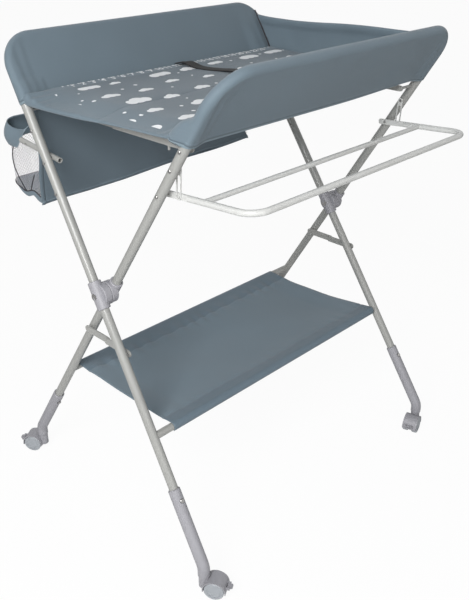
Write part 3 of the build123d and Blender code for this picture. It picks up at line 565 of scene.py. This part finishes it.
SLATE_CLOTH = cloth_material("slate_cloth", SLATE)
# Wall cloth: a painted highlight on the rolled lower hem, a painted shade line in the fold above it, and a row of
# stitches.
WALL_CLOTH = cloth_material(
    "wall_cloth",
    SLATE,
    stitch=[2 * HEM_LIT_BAND],
    bands=[(-0.01, HEM_LIT_BAND, (1.35, 1.32, 1.28)), (HEM_LIT_BAND, 1.5 * HEM_LIT_BAND, (0.62, 0.64, 0.66))],
)
PAD_CLOTH = cloth_material("printed_pad_cloth", SLATE, paint=pad_print)
# The sling's cloth is slate lightened as painted light, with painted shade on its hems.
SLING_CLOTH = cloth_material(
    "sling_cloth",
    SLATE_PAINTED_LIGHT,
    stitch=[HEM_DEEP[FRONT], 2 * SHELF_Y - HEM_DEEP[REAR]],
    bands=[(-1, HEM_DEEP[FRONT], HEM_PAINTED_SHADE), (2 * SHELF_Y - HEM_DEEP[REAR], 1, HEM_PAINTED_SHADE)],
)
# The bag panel's cloth is slate darkened as painted shade under the tray.
PANEL_CLOTH = cloth_material("bag_panel_cloth", SLATE_PAINTED_SHADE, stitch=[0.006])
# Lip cloth: a painted highlight along the lip's lower hem.
LIP_CLOTH = cloth_material("bag_lip_cloth", SLATE, bands=[(-0.01, 0.0025, (1.5, 1.46, 1.42))])
STRAP_CLOTH = cloth_material("black_webbing", WEBBING, threads=700.0, depth=0.0005, sheen=0.0)
NET_THREAD = coated_material("net_thread", NET_GREY, 0.6, 600.0, 0.0001)
ELASTIC_THREAD = coated_material("black_elastic", ELASTIC, 0.7, 900.0, 0.0002)
TUBE_PAINT = coated_material("tube_paint", TUBE_GREY, 0.36, 1500.0, 0.00012, coat=0.15)
RACK_PAINT = coated_material("rack_paint", RACK_SILVER, 0.32, 1500.0, 0.0001, coat=0.2)
PLASTIC = coated_material("moulded_plastic", PLASTIC_GREY, 0.48, 1800.0, 0.0001)
WHEEL_PLASTIC = coated_material("wheel_plastic", WHEEL_GREY, 0.40, 1200.0, 0.0001)
PLATED = coated_material("plated_steel", STEEL, 0.30, 700.0, 0.00006, metal=1.0)

FINISH_OF_SLOT = {
    "grey_tube": TUBE_PAINT,
    "bright_tube": RACK_PAINT,
    "rivet_steel": PLATED,
    "grey_plastic": PLASTIC,
    "wheel_plastic": WHEEL_PLASTIC,
    "slate_cloth": SLATE_CLOTH,
    "net": NET_THREAD,
    "webbing": STRAP_CLOTH,
}


def dress_frame():
    """Gives every solid node the finish of its slot in the record."""
    for part in frame["record"]["subparts"]:
        node = frame["nodes"][part["node"]]
        node.data.materials.clear()
        node.data.materials.append(FINISH_OF_SLOT[part["material_slot"]])


# Walls


def wall_cover(name, which, right_reach, seed):
    """Cloth envelope over a top rail and its legs.

    A closed loop runs round each level of the wall, out along the inner face and back along the outer.
    Its half thickness is a round roll at the rim and over each leg, and a wedge down to the hem between them.
    At the lower left corner the inner face swells into a dome over the pad. The hem rises towards both ends.
    """
    corner = WALL_CORNER[which]
    low = (WALL_HEM_Z - HUB_Z) / LEAN_COS
    high = (RAIL_Z[which] - HUB_Z) / LEAN_COS + WALL_ROLL
    up = low + (high - low) * close_to_both_ends(60)[:, None]
    z = HUB_Z + up * LEAN_COS
    x_low = leg_x(LEFT, which, z) - WALL_ROLL
    x_high = leg_x(RIGHT, which, z) + right_reach
    over = np.clip(up - (high - corner), 0, corner)
    inset = corner - np.sqrt(corner**2 - over**2)
    share = close_to_both_ends(150)[None]
    x = x_low + inset + (x_high - x_low - 2 * inset) * share
    side = np.minimum(x - x_low, x_high - x)
    into = np.clip(corner - side, 0, None)
    rounded = corner - np.hypot(into, over)
    rim = np.where((into > 0) & (over > 0), rounded, np.minimum(side, high - up))
    rim = np.clip(rim, 0, None)
    roll = round_edge(rim / WALL_ROLL)
    wedge = WALL_HEM + (WALL_ROLL - WALL_HEM) * np.clip((up - low) / (high - WALL_ROLL - low), 0, 1)
    beside = np.minimum(np.abs(x - leg_x(LEFT, which, z)), np.abs(x - leg_x(RIGHT, which, z)))
    off_leg = smooth_step((beside - 0.6 * WALL_ROLL) / WALL_SIDE_FADE)
    half = (WALL_ROLL * (1 - off_leg) + wedge * off_leg) * roll
    hem = np.clip((up - low) / HEM_ROUND, 0, 1)
    half = half * round_edge(hem)
    slack = smooth_step(rim / 0.03) * smooth_step((up - low) / 0.02)
    drift = WALL_DRIFT * slack * ripple(x, up, [(0.30, 1.0), (0.11, 0.45)], seed)
    by_leg = 1 - smooth_step((side - 0.016) / 0.05)
    pull = PULL_DEEP * slack * by_leg * np.sin(side * 2 * np.pi / PULL_WAVE + up * 9)
    left_end = np.clip(1 - ((x - x_low - FLARE_IN) / FLARE_SPAN) ** 2, 0, 1)
    dome = np.clip(1 - ((up - low - FLARE_UP) / FLARE_SPAN) ** 2, 0, 1)
    swell = FLARE[which] * np.sqrt(left_end * dome) * np.sqrt(hem)
    inner = half + drift + pull
    outer = -half + drift - pull
    offset = there_and_back(inner, outer)
    along = there_and_back(x, x)
    lift = HEM_LIFT[LEFT] * (1 - smooth_step((x - x_low) / HEM_LIFT_RUN[LEFT]))
    lift = lift + HEM_LIFT[RIGHT] * (1 - smooth_step((x_high - x) / HEM_LIFT_RUN[RIGHT]))
    lift = lift * (1 - smooth_step((up - low) / HEM_LIFT_TALL))
    level = up + there_and_back(lift, lift)
    facing = (-which * LEAN_COS, LEAN_SIN)
    out = which * LEAN_SIN * level + facing[0] * offset
    out[:, : x.shape[1]] -= which * swell
    points = np.stack([along, out, HUB_Z + LEAN_COS * level + facing[1] * offset], axis=-1)
    uv = np.stack([along, np.repeat(up - low, along.shape[1], axis=1)], axis=-1)
    return surface(name, points, uv, WALL_CLOTH, loop=True, weld=True)


def end_wall():
    """Panel across the right end: a grid from wall to wall with a rolled upper edge and a slack middle.

    Its upper edge falls towards the rear wall, whose rail is lower.
    Each column runs from the pad up the inner face, over the roll and down the outer face.
    """
    depth = np.linspace(-1, 1, 70)[None]
    rise = np.concatenate([close_to_both_ends(26), close_to_both_ends(26)[::-1][1:]])[:, None]
    outside = np.concatenate([-np.ones(26), np.ones(25)])[:, None]
    top = END_WALL_TOP_Z - 0.0017 - 0.0055 * np.tanh(3.1 * depth - 0.4) + 0.004 * depth**8
    low = WALL_HEM_Z + 0.004
    z = low + (top - low) * rise
    half = END_WALL_HALF + (END_WALL_ROLL - END_WALL_HALF) * smooth_step((z - (top - 0.022)) / 0.010)
    half = half * round_edge((top - z) / END_WALL_ROLL)
    reach = LEG_SLOPE * (z - HUB_Z) - 0.006
    belly = 0.006 * (1 - depth**2) * np.sin(np.pi * np.clip((z - low) / (top - low), 0, 1))
    drift = 0.0016 * ripple(depth * 0.25, z, [(0.17, 1.0), (0.07, 0.4)], 5) * (1 - depth**8)
    x = END_WALL_X + outside * half + belly + drift
    y = depth * reach
    points = np.stack([x, y, np.broadcast_to(z, x.shape)], axis=-1)
    uv = np.stack([y, np.broadcast_to(z - low, x.shape)], axis=-1)
    return surface("end_wall", points, uv, SLATE_CLOTH, weld=True)


def wall_seam():
    """Dark cord up the corner where the end wall is sewn to the rear wall: the seam's dark piping, with painted
    shadow of the gap in that corner.
    """
    z = np.linspace(WALL_HEM_Z + 0.02, END_WALL_TOP_Z + 0.006, 24)
    y = LEG_SLOPE * (z - HUB_Z) - SEAM_OFF_RAIL / LEAN_COS
    x = np.full_like(z, END_WALL_X - SEAM_OFF_WALL)
    return tube("wall_seam", np.stack([x, y, z], axis=-1), SEAM_R, ELASTIC_THREAD)


def add_walls():
    rear_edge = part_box("rear_wall_cover")[1].x - leg_x(RIGHT, REAR, RAIL_Z[REAR])
    rear = wall_cover("rear_wall", REAR, rear_edge, 11)
    front = wall_cover("front_wall", FRONT, WALL_ROLL, 12)
    covers = ((rear, "rear_frame", "rear_wall_cover"), (front, "front_frame", "front_wall_cover"))
    for piece, body, node in covers:
        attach(piece, body)
        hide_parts(node)
    end = end_wall()
    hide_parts("end_wall_cover")
    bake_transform(end)
    seam = wall_seam()
    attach(seam, "rear_frame")


# Tray


def pad_left(y):
    """Left edge of the pad: it runs out towards the rear, as the two frames do."""
    return PAD_LEFT + PAD_SKEW * y / PAD_REACH


def pad_top(x, y):
    """Height of the pad's face: flat, turned up at the walls and falling to the free left edge.

    A hollow lies at its front left corner.
    """
    across = np.clip(np.abs(y) / PAD_REACH, 0, 1)
    turned_up = 0.0045 * across**4
    edge = 1 - smooth_step((x - pad_left(y)) / 0.075)
    fall = 0.0115 * edge * (1 - 0.85 * smooth_step((across - 0.72) / 0.28))
    fold = 0.0008 * bell(y, 0.012)
    slack = 0.0010 * ripple(x, y, [(0.21, 1.0), (0.09, 0.5)], 21) * smooth_step((1 - across) / 0.15)
    gather = 0.0016 * edge * smooth_step((across - 0.6) / 0.3) * np.sin(y * 2 * np.pi / 0.021 + x * 60)
    crease = ((x - pad_left(y) - 0.050) / 0.030) ** 2 + ((y + PAD_REACH - 0.030) / 0.014) ** 2
    return PAD_CROWN + turned_up - fall - fold + slack + gather - 0.007 * np.exp(-crease)


def pad_half(name, which):
    """Half of the pad: a loop round each station along X, over its face and back under it.

    The underside lies off the print on the uv map, so that it stays plain.
    """
    along = close_to_both_ends(150)[:, None]
    across = close_to_both_ends(70)[None]
    y = which * PAD_REACH * across * np.ones_like(along)
    left = pad_left(y)
    x = left + (PAD_RIGHT - left) * along
    end = np.minimum(x - left, PAD_RIGHT - x)
    end_roll = round_edge(end / PAD_ROLL)
    near_fold = PAD_REACH * across
    near_seam = PAD_REACH - near_fold
    fold_roll = round_edge(near_fold / FOLD_ROLL)
    seam_roll = round_edge(near_seam / PAD_ROLL)
    top = pad_top(x, y)
    rise = PAD_RIM_RISE * smooth_step(0.5 - y / (0.7 * PAD_REACH))
    base = PAD_BASE + rise * (1 - smooth_step((x - left) / 0.06))
    core = (base + top) / 2
    thick = (top - base) / 2 * end_roll * fold_roll * seam_roll
    z = there_and_back(core + thick, core - thick)
    y_loop = there_and_back(y, y)
    points = np.stack([there_and_back(x, x), y_loop, z], axis=-1)
    uv = np.stack([there_and_back(x, np.full_like(x, BARE_X)), y_loop], axis=-1)
    return surface(name, points, uv, PAD_CLOTH, loop=True, weld=True)


def strap_half(name, which):
    """Half of the safety strap: webbing that lies on the pad's face and humps in slow waves."""
    across = np.linspace(-0.5, 0.5, 9)[None] * STRAP_WIDTH
    run = np.linspace(0, 1, 60)[:, None]
    y = which * run * (PAD_REACH - 0.004) * np.ones_like(across)
    wander = -STRAP_WANDER * smooth_step((y / PAD_REACH - 0.1) / 0.8)
    x = STRAP_X + across + wander
    hump = 0.007 * bell(y - 0.84 * PAD_REACH, 0.020) + 0.003 * bell(y - 0.3 * PAD_REACH, 0.03)
    z = pad_top(x, y) + STRAP_THICK * 0.7 + hump
    points = np.stack([x, y, z], axis=-1)
    uv = np.stack([x, y], axis=-1)
    return surface(name, points, uv, STRAP_CLOTH, thick=STRAP_THICK)


def ruler_numbers():
    """Plain numbers beside every other mark of the ruler, laid flat on the pad's face."""
    work = bmesh.new()
    for count in range(1, int((RULER_TO - RULER_FROM) / RULER_STEP)):
        letters = bpy.data.curves.new(f"number_{count}", "FONT")
        letters.body = str(count)
        letters.size = NUMBER_SIZE
        letters.offset = NUMBER_BOLD
        letters.align_x = "CENTER"
        outline = add_object(f"number_{count}", letters)
        glyphs = bpy.data.meshes.new_from_object(outline)
        bpy.data.objects.remove(outline)
        points = np.zeros(len(glyphs.vertices) * 3)
        glyphs.vertices.foreach_get("co", points)
        points = points.reshape(-1, 3) + (RULER_FROM + count * RULER_STEP, RULER_LINE - NUMBER_DROP, 0)
        points[:, 2] = pad_top(points[:, 0], points[:, 1]) + PRINT_LIFT
        glyphs.vertices.foreach_set("co", points.ravel())
        work.from_mesh(glyphs)
    mesh = bpy.data.meshes.new("ruler_numbers")
    work.to_mesh(mesh)
    work.free()
    mesh.materials.append(coated_material("print_white", PRINT_WHITE, 0.55, 900.0, 0.00005))
    return add_object("ruler_numbers", mesh)


def add_tray():
    rear = pad_half("pad_rear_half", REAR)
    front = pad_half("pad_front_half", FRONT)
    strap_rear = strap_half("strap_rear", REAR)
    strap_front = strap_half("strap_front", FRONT)
    numbers = ruler_numbers()
    for piece, body in (
        (rear, "tray_rear"),
        (front, "tray_front"),
        (strap_rear, "tray_rear"),
        (strap_front, "tray_front"),
        (numbers, "tray_rear"),
    ):
        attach(piece, body)
        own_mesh(piece)
    for piece, node in ((rear, "pad_rear"), (front, "pad_front"), (strap_rear, "safety_strap")):
        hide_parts(node)


# Shelf


def sling_profile(count):
    """Line of the sling: round the front bar, down in a shallow parabola and round the rear bar."""
    turn = np.linspace(-0.3 * np.pi, 0.5 * np.pi, 26)
    front = np.stack([-SHELF_Y - SLING_ROLL * np.cos(turn), SHELF_Z + SLING_ROLL * np.sin(turn)], axis=-1)
    y = np.linspace(-SHELF_Y, SHELF_Y, count)[1:-1]
    sag = np.stack([y, SHELF_Z + SLING_ROLL - SLING_SAG * (1 - (y / SHELF_Y) ** 2)], axis=-1)
    rear = front[::-1] * (-1, 1)
    return np.concatenate([front, sag, rear])


def shelf_sling():
    """Cloth carried along X on the sling's profile, drawn in at the free ends and puckered along its hems."""
    line = sling_profile(90)
    step = np.linalg.norm(np.diff(line, axis=0), axis=1)
    run = np.concatenate([[0], np.cumsum(step)])
    start = run[np.argmin(np.abs(line[:, 0] + SHELF_Y) + np.abs(line[:, 1] - SHELF_Z - SLING_ROLL))]
    run = (run - start)[:, None]
    share = np.linspace(-1, 1, 180)[None]
    y = line[:, :1] * np.ones_like(share)
    inner = 1 - np.clip(y / SHELF_Y, -1, 1) ** 2
    x = share * (SLING_HALF - SLING_DRAW * inner)
    x = x - SLING_SHORT * np.clip(0.5 + y / (2 * SHELF_Y), 0, 1) * np.clip(share, 0, 1)
    pucker = np.zeros_like(x)
    for which in (REAR, FRONT):
        gap = np.abs(which * y - (SHELF_Y - HEM_DEEP[which]))
        wave = np.sin(x * 2 * np.pi / 0.041 + 1.7 * np.sin(x * 2 * np.pi / 0.23) + which)
        pucker += PUCKER[which] * bell(gap, 0.018) * wave
        pucker -= 0.0012 * bell(gap, 0.0025)
    slack = 0.0022 * ripple(x, y, [(0.33, 1.0), (0.13, 0.35)], 41) * smooth_step(inner * 2)
    edge = 0.009 * smooth_step((np.abs(share) - 0.8) / 0.2) * inner
    z = line[:, 1:] + (pucker + slack) * smooth_step(inner * 3) + edge
    points = np.stack([x, y, z], axis=-1)
    uv = np.stack([x, run * np.ones_like(x)], axis=-1)
    return surface("sling", points, uv, SLING_CLOTH, thick=0.0014)


def add_shelf():
    sling = shelf_sling()
    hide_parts("shelf_sling")
    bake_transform(sling)


# Bag


def on_line(at, run, line):
    """Points of a plan line at given lengths from its start."""
    return np.stack([np.interp(at, run, line[:, i]) for i in (0, 1)], axis=-1)


def pouch_path(count):
    """Plan of the pouch from the panel's left edge round the back to its right edge, with round rear corners.

    Returns points, outward directions and the length from the start.
    """
    quarter = np.linspace(0, np.pi / 2, 14)
    left = np.stack([np.full(20, BAG_LEFT), np.linspace(BAG_NEAR, BAG_FAR - POUCH_CORNER, 20)], axis=-1)
    corner = POUCH_CORNER * np.stack([1 - np.cos(quarter), np.sin(quarter)], axis=-1)
    rear_left = corner + (BAG_LEFT, BAG_FAR - POUCH_CORNER)
    rear_right = (corner * (-1, 1))[::-1] + (BAG_RIGHT, BAG_FAR - POUCH_CORNER)
    right = left[::-1] * (0, 1) + (BAG_RIGHT, 0)
    line = np.concatenate([left, rear_left[1:], rear_right, right[1:]])
    run = np.concatenate([[0], np.cumsum(np.linalg.norm(np.diff(line, axis=0), axis=1))])
    even = np.linspace(0, run[-1], count)
    path = on_line(even, run, line)
    ahead = np.gradient(path, axis=0)
    ahead /= np.linalg.norm(ahead, axis=1, keepdims=True)
    return path, np.stack([-ahead[:, 1], ahead[:, 0]], axis=-1), even


def from_end(run, whole):
    """Distance along the pouch's path from the nearer edge of the panel."""
    return np.minimum(run, whole - run)


def lip_low(run, whole):
    """Lower edge of the lip: from the leg it drops to a low point on the end, then it rises to the back."""
    near = from_end(run, whole)
    low_at = 0.67 * BAG_DEEP
    drop = np.clip((near - LIP_FROM) / (low_at - LIP_FROM), 0, 1) ** 1.5
    back = smooth_step((near - low_at) / (0.6 * BAG_DEEP))
    sway = 0.004 * np.sin((run - BAG_DEEP) * 2 * np.pi / 0.19) * smooth_step((near - BAG_DEEP) / 0.05)
    return LIP_RIM + 0.005 - LIP_POINT * drop + (LIP_EDGE - LIP_RIM - 0.005 + LIP_POINT) * back + sway


def lip_high(run, whole):
    """Upper edge of the lip: level along the back, dipping in a shallow bow at each end, up to the leg."""
    near = np.clip(from_end(run, whole) / (1.15 * BAG_DEEP), 0, 1)
    return LIP_RIM + 0.005 * (1 - near) - 0.015 * np.sin(np.pi * near) ** 1.5


def base_high(run, whole):
    """Upper edge of the base: low at the ends of the pouch, deeper along the back."""
    near = from_end(run, whole)
    to_back = smooth_step((near - 0.75 * BAG_DEEP) / 0.035)
    rise = BASE_RISE["end"] + (BASE_RISE["back"] - BASE_RISE["end"]) * to_back
    on_end = 1 - smooth_step((near - 0.6 * BAG_DEEP) / 0.03)
    wave = 0.004 * np.sin((near - 0.02) * 2 * np.pi / 0.065) * on_end
    return BAG_LOW + rise + wave


def net_high(run, whole):
    """Upper edge of the net: just above the lip's lower edge, and level beside the arms."""
    level = NET_TOP + 0.010 * smooth_step((from_end(run, whole) - BAG_DEEP) / 0.05)
    return np.minimum(lip_low(run, whole) + 0.004, level)


def bag_lip():
    """Band of cloth round the mouth of the pouch between the lip's two edges, bulging out between them."""
    path, out, run = pouch_path(320)
    whole = run[-1]
    keep = from_end(run, whole) >= LIP_FROM
    path, out, run = path[keep], out[keep], run[keep]
    share = np.linspace(0, 1, 20)[:, None]
    low, high = lip_low(run, whole)[None], lip_high(run, whole)[None]
    z = low + (np.maximum(high, low + 0.0006) - low) * share
    past_arm = smooth_step((from_end(run, whole) - 0.45 * BAG_DEEP) / (0.4 * BAG_DEEP))[None]
    push = (0.004 + 0.009 * past_arm) * np.sin(np.pi * (0.15 + 0.75 * share))
    push = push + 0.0016 * ripple(run[None], z, [(0.12, 1.0), (0.05, 0.5)], 51)
    held = smooth_step((from_end(run, whole) - LIP_FROM) / 0.03)[None] * (1 - ARM_HOLD * (1 - past_arm))
    plan = path[None] + out[None] * (push * held)[..., None]
    points = np.concatenate([plan, z[..., None]], axis=-1)
    uv = np.stack([np.broadcast_to(run, z.shape), z - low], axis=-1)
    return surface("bag_lip", points, uv, LIP_CLOTH, thick=0.0022)


def base_trough():
    """Trough under the pouch: from the net's lower edge down and in to the panel's lower edge.

    Its section falls steeply at the rim and runs flat to the panel. At the left end a fold lifts its middle.
    """
    path, _, run = pouch_path(240)
    share = np.linspace(0, 1, 18)[:, None]
    rim = base_high(run, run[-1])[None]
    inner_x = np.clip(path[:, 0], BAG_LEFT + 0.001, BAG_RIGHT - 0.004)
    inner = np.stack([inner_x, np.full(len(path), BAG_NEAR + 0.002)], axis=-1)
    pull = share**1.6
    plan = path[None] * (1 - pull[..., None]) + inner[None] * pull[..., None]
    low = panel_low(plan[..., 0])
    fold = 0.010 * bell(plan[..., 1] - BAG_NEAR - 0.36 * BAG_DEEP, 0.014)
    fold = fold * (1 - smooth_step((plan[..., 0] - BAG_LEFT) / 0.06))
    z = rim + (low + fold - rim) * (1 - (1 - pull) ** 5)
    points = np.concatenate([plan, z[..., None]], axis=-1)
    uv = np.stack([np.broadcast_to(run, z.shape), z], axis=-1)
    return surface("bag_base", points, uv, SLATE_CLOTH, thick=0.0016)


def panel_low(x):
    """Lower edge of the panel: it rises slowly to the right, in slow waves."""
    along = (x - BAG_LEFT) / (BAG_RIGHT - BAG_LEFT)
    return BAG_LOW + 0.015 * along + 0.0015 * np.sin((x - BAG_LEFT) * 2 * np.pi / 0.31 + 0.6)


def bag_panel():
    """Cloth panel beside the legs, from under the tray to the bag's lower edge.

    Its hems are turned below and at the left.
    """
    share = np.concatenate([np.linspace(0, 0.05, 8), np.linspace(0.06, 1, 44)])[:, None]
    along = np.concatenate([np.linspace(0, 0.03, 14), np.linspace(0.035, 1, 150)])[None]
    below_arm = ARM_LOW - 0.004 - BAG_LOW - (BAG_HIGH - BAG_LOW) * share
    start = BAG_LEFT - PANEL_FLARE * smooth_step(below_arm / 0.05)
    x = start + (BAG_RIGHT - start - 0.016 * np.sin(np.pi * np.clip(share * 2.2, 0, 1))) * along
    low = panel_low(x)
    z = low + (BAG_HIGH - low) * share
    swing = 0.004 * ripple(x, z, [(0.26, 1.0), (0.10, 0.35)], 61) * (1 - share * 0.6)
    left = x - start
    hem = 0.0022 * bell(share - 0.025, 0.018) + 0.0020 * bell(left - 0.005, 0.0045)
    seam = 0.0012 * bell(left - 0.0105, 0.0015)
    y = BAG_NEAR + 0.003 + swing * smooth_step((1 - share) / 0.2) - hem + seam
    points = np.stack([x, y, z], axis=-1)
    uv = np.stack([x, z - low], axis=-1)
    return surface("bag_panel", points, uv, PANEL_CLOTH, thick=0.0020)


def net_bulge(run, whole):
    """How far the net stands out: a little at the ends, beside the arms, and more along the back."""
    return 0.001 + 0.008 * smooth_step((from_end(run, whole) - BAG_DEEP) / 0.05)


def bag_net():
    """Two families of slanting strands on the pouch's plan between base and lip, as thin four-sided bars."""
    path, out, run = pouch_path(900)
    whole = run[-1]
    tall = NET_TOP - BAG_LOW - BASE_RISE["end"]
    share = np.linspace(0, 1, 15)
    starts = np.arange(-tall, whole + tall, NET_CELL)
    corners = np.linspace(0, 2 * np.pi, 4, endpoint=False)
    points = []
    quads = []
    for lean in (1, -1):
        at = starts[:, None] + (share[None] if lean == 1 else 1 - share[None]) * tall
        keep = np.clip(at, 0, whole)
        base = base_high(keep, whole) - 0.002
        height = base + (net_high(keep, whole) - base) * share[None]
        push = net_bulge(keep, whole) * np.sin(np.pi * share[None])
        normal = on_line(keep, run, out)
        middle = on_line(keep, run, path) + normal * push[..., None]
        side = np.stack([normal[..., 1], -normal[..., 0]], axis=-1)
        ring_out = (np.cos(corners) * NET_STRAND)[None, None, :, None] * normal[:, :, None]
        ring_side = (np.sin(corners) * NET_STRAND)[None, None, :, None] * side[:, :, None]
        plan = middle[:, :, None] + ring_out + ring_side
        z = np.broadcast_to(height[:, :, None], plan.shape[:3])
        inside = (at[:, 1:] > 0) & (at[:, :-1] > 0) & (at[:, 1:] < whole) & (at[:, :-1] < whole)
        index = np.arange(plan.shape[0] * plan.shape[1] * 4).reshape(plan.shape[:3])
        index = index + sum(len(p) for p in points)
        after = np.roll(index, -1, axis=2)
        bars = np.stack([index[:, :-1], after[:, :-1], after[:, 1:], index[:, 1:]], axis=-1)
        quads.append(bars[inside].reshape(-1, 4))
        points.append(np.concatenate([plan, z[..., None]], axis=-1).reshape(-1, 3))
    used, faces = np.unique(np.concatenate(quads), return_inverse=True)
    mesh = bpy.data.meshes.new("bag_net")
    mesh.from_pydata(np.concatenate(points)[used].tolist(), [], faces.reshape(-1, 4).tolist())
    mesh.materials.append(NET_THREAD)
    weld_and_face_out(mesh)
    return add_object("bag_net_strands", mesh)


def elastic(name, top, low, sway):
    """Black elastic on the net between two places.

    Each place is a length along the pouch's path and a share of the net's height.
    """
    path, out, run = pouch_path(900)
    whole = run[-1]
    share = np.linspace(0, 1, 30)
    along = low[0] + (top[0] - low[0]) * share + sway * np.sin(np.pi * share)
    rise = low[1] + (top[1] - low[1]) * share
    base = base_high(along, whole)
    z = base + (net_high(along, whole) - base) * rise
    push = 0.0012 + net_bulge(along, whole) * np.sin(np.pi * rise)
    middle = on_line(along, run, path) + on_line(along, run, out) * push[:, None]
    return tube(name, np.concatenate([middle, z[:, None]], axis=-1), 0.0010, ELASTIC_THREAD)


def base_elastic():
    """Black elastic along the base's upper edge, round both ends and the back."""
    path, out, run = pouch_path(400)
    line = np.concatenate([path + out * 0.0012, base_high(run, run[-1])[:, None]], axis=-1)
    return tube("bag_base_elastic", line[4:-4], 0.0012, ELASTIC_THREAD)


def add_bag():
    panel = bag_panel()
    base = base_trough()
    lip = bag_lip()
    net = bag_net()
    whole = pouch_path(900)[2][-1]
    edges = [
        elastic("bag_elastic_left", (0.094, 0.96), (0.064, 0.0), 0.022),
        elastic("bag_elastic_left_low", (0.024, 0.40), (0.046, 0.0), 0.0),
        elastic("bag_elastic_right", (whole - 0.094, 0.96), (whole - 0.064, 0.0), -0.022),
        base_elastic(),
    ]
    for piece in (panel, base, lip, net, *edges):
        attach(piece, "rear_frame")
    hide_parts("storage_bag")
    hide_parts("bag_mesh")


# Studio

FLOOR_HALF = 12.0
FLOOR_GREY = (0.86, 0.86, 0.86, 1)
FLOOR_GLOW = 0.95  # share of plain white that the floor shows to the camera
SKY_LIGHT = 0.25  # what the surroundings light the object with
LAMP_AIM = (0.0, 0.0, 0.65)
LAMPS = (
    {"name": "key", "at": (-2.0, -1.00, 1.95), "wide": 1.3, "watts": 66.0},
    {"name": "fill", "at": (-0.9, -2.5, 0.9), "wide": 1.8, "watts": 13.0},
    {"name": "back", "at": (0.2, 2.6, 2.8), "wide": 2.2, "watts": 8.0},
)
CAMERA_AT = (-1.1523, -1.1297, 1.2600)
CAMERA_TILT = math.radians(61.99)
CAMERA_TURN = math.radians(-45.69)
CAMERA_LENS = 46.3


def add_floor():
    """Pale floor that keeps the object's shadow."""
    grid = np.linspace(-FLOOR_HALF, FLOOR_HALF, 2)
    points = np.stack([*np.meshgrid(grid, grid), np.zeros((2, 2))], axis=-1)
    material, wire, shader = new_material("studio_floor")
    shader.inputs["Base Color"].default_value = FLOOR_GREY
    shader.inputs["Roughness"].default_value = 0.9
    seen = wire.node("ShaderNodeLightPath", output="Is Camera Ray")
    glow = wire.node("ShaderNodeEmission", {"Color": (1, 1, 1, 1), "Strength": 1.0})
    share = wire.math("MULTIPLY", seen, FLOOR_GLOW)
    both = wire.node("ShaderNodeMixShader", {0: share, 1: shader.outputs[0], 2: glow})
    wire.feed(material.node_tree.nodes["Material Output"].inputs["Surface"], both)
    floor = surface("studio_floor", points, points[..., :2], material)


def add_surroundings():
    """White surroundings for the eye and for reflections, and a low even light on the object."""
    world = bpy.data.worlds.new("studio")
    bpy.context.scene.world = world
    world.use_nodes = True
    wire = Wiring(world.node_tree)
    rays = world.node_tree.nodes.new("ShaderNodeLightPath")
    white = wire.math("MAXIMUM", rays.outputs["Is Camera Ray"], rays.outputs["Is Glossy Ray"])
    white = wire.math("MAXIMUM", white, rays.outputs["Is Transmission Ray"])
    level = wire.math("MULTIPLY_ADD", white, 1 - SKY_LIGHT, SKY_LIGHT)
    wire.feed(world.node_tree.nodes["Background"].inputs["Strength"], level)
    world.node_tree.nodes["Background"].inputs["Color"].default_value = (1, 1, 1, 1)


def add_lamp(name, at, wide, watts):
    """Round soft lamp that faces the table."""
    light = bpy.data.lights.new(name, "AREA")
    light.shape = "DISK"
    light.size = wide
    light.energy = watts
    lamp = add_object(name, light)
    lamp.location = at
    aim = np.array(LAMP_AIM) - np.array(at)
    level = math.hypot(aim[0], aim[1])
    lamp.rotation_euler = (math.atan2(level, -aim[2]), 0, math.atan2(-aim[0], aim[1]))


def add_camera():
    view = bpy.data.cameras.new("camera")
    view.lens = CAMERA_LENS
    view.sensor_width = 36.0
    camera = add_object("camera", view)
    camera.location = CAMERA_AT
    camera.rotation_euler = (CAMERA_TILT, 0, CAMERA_TURN)
    bpy.context.scene.camera = camera
    bpy.context.scene.view_settings.view_transform = "Standard"


dress_frame()
add_walls()
add_tray()
add_shelf()
add_bag()
add_floor()
add_surroundings()
for lamp in LAMPS:
    add_lamp(**lamp)
add_camera()
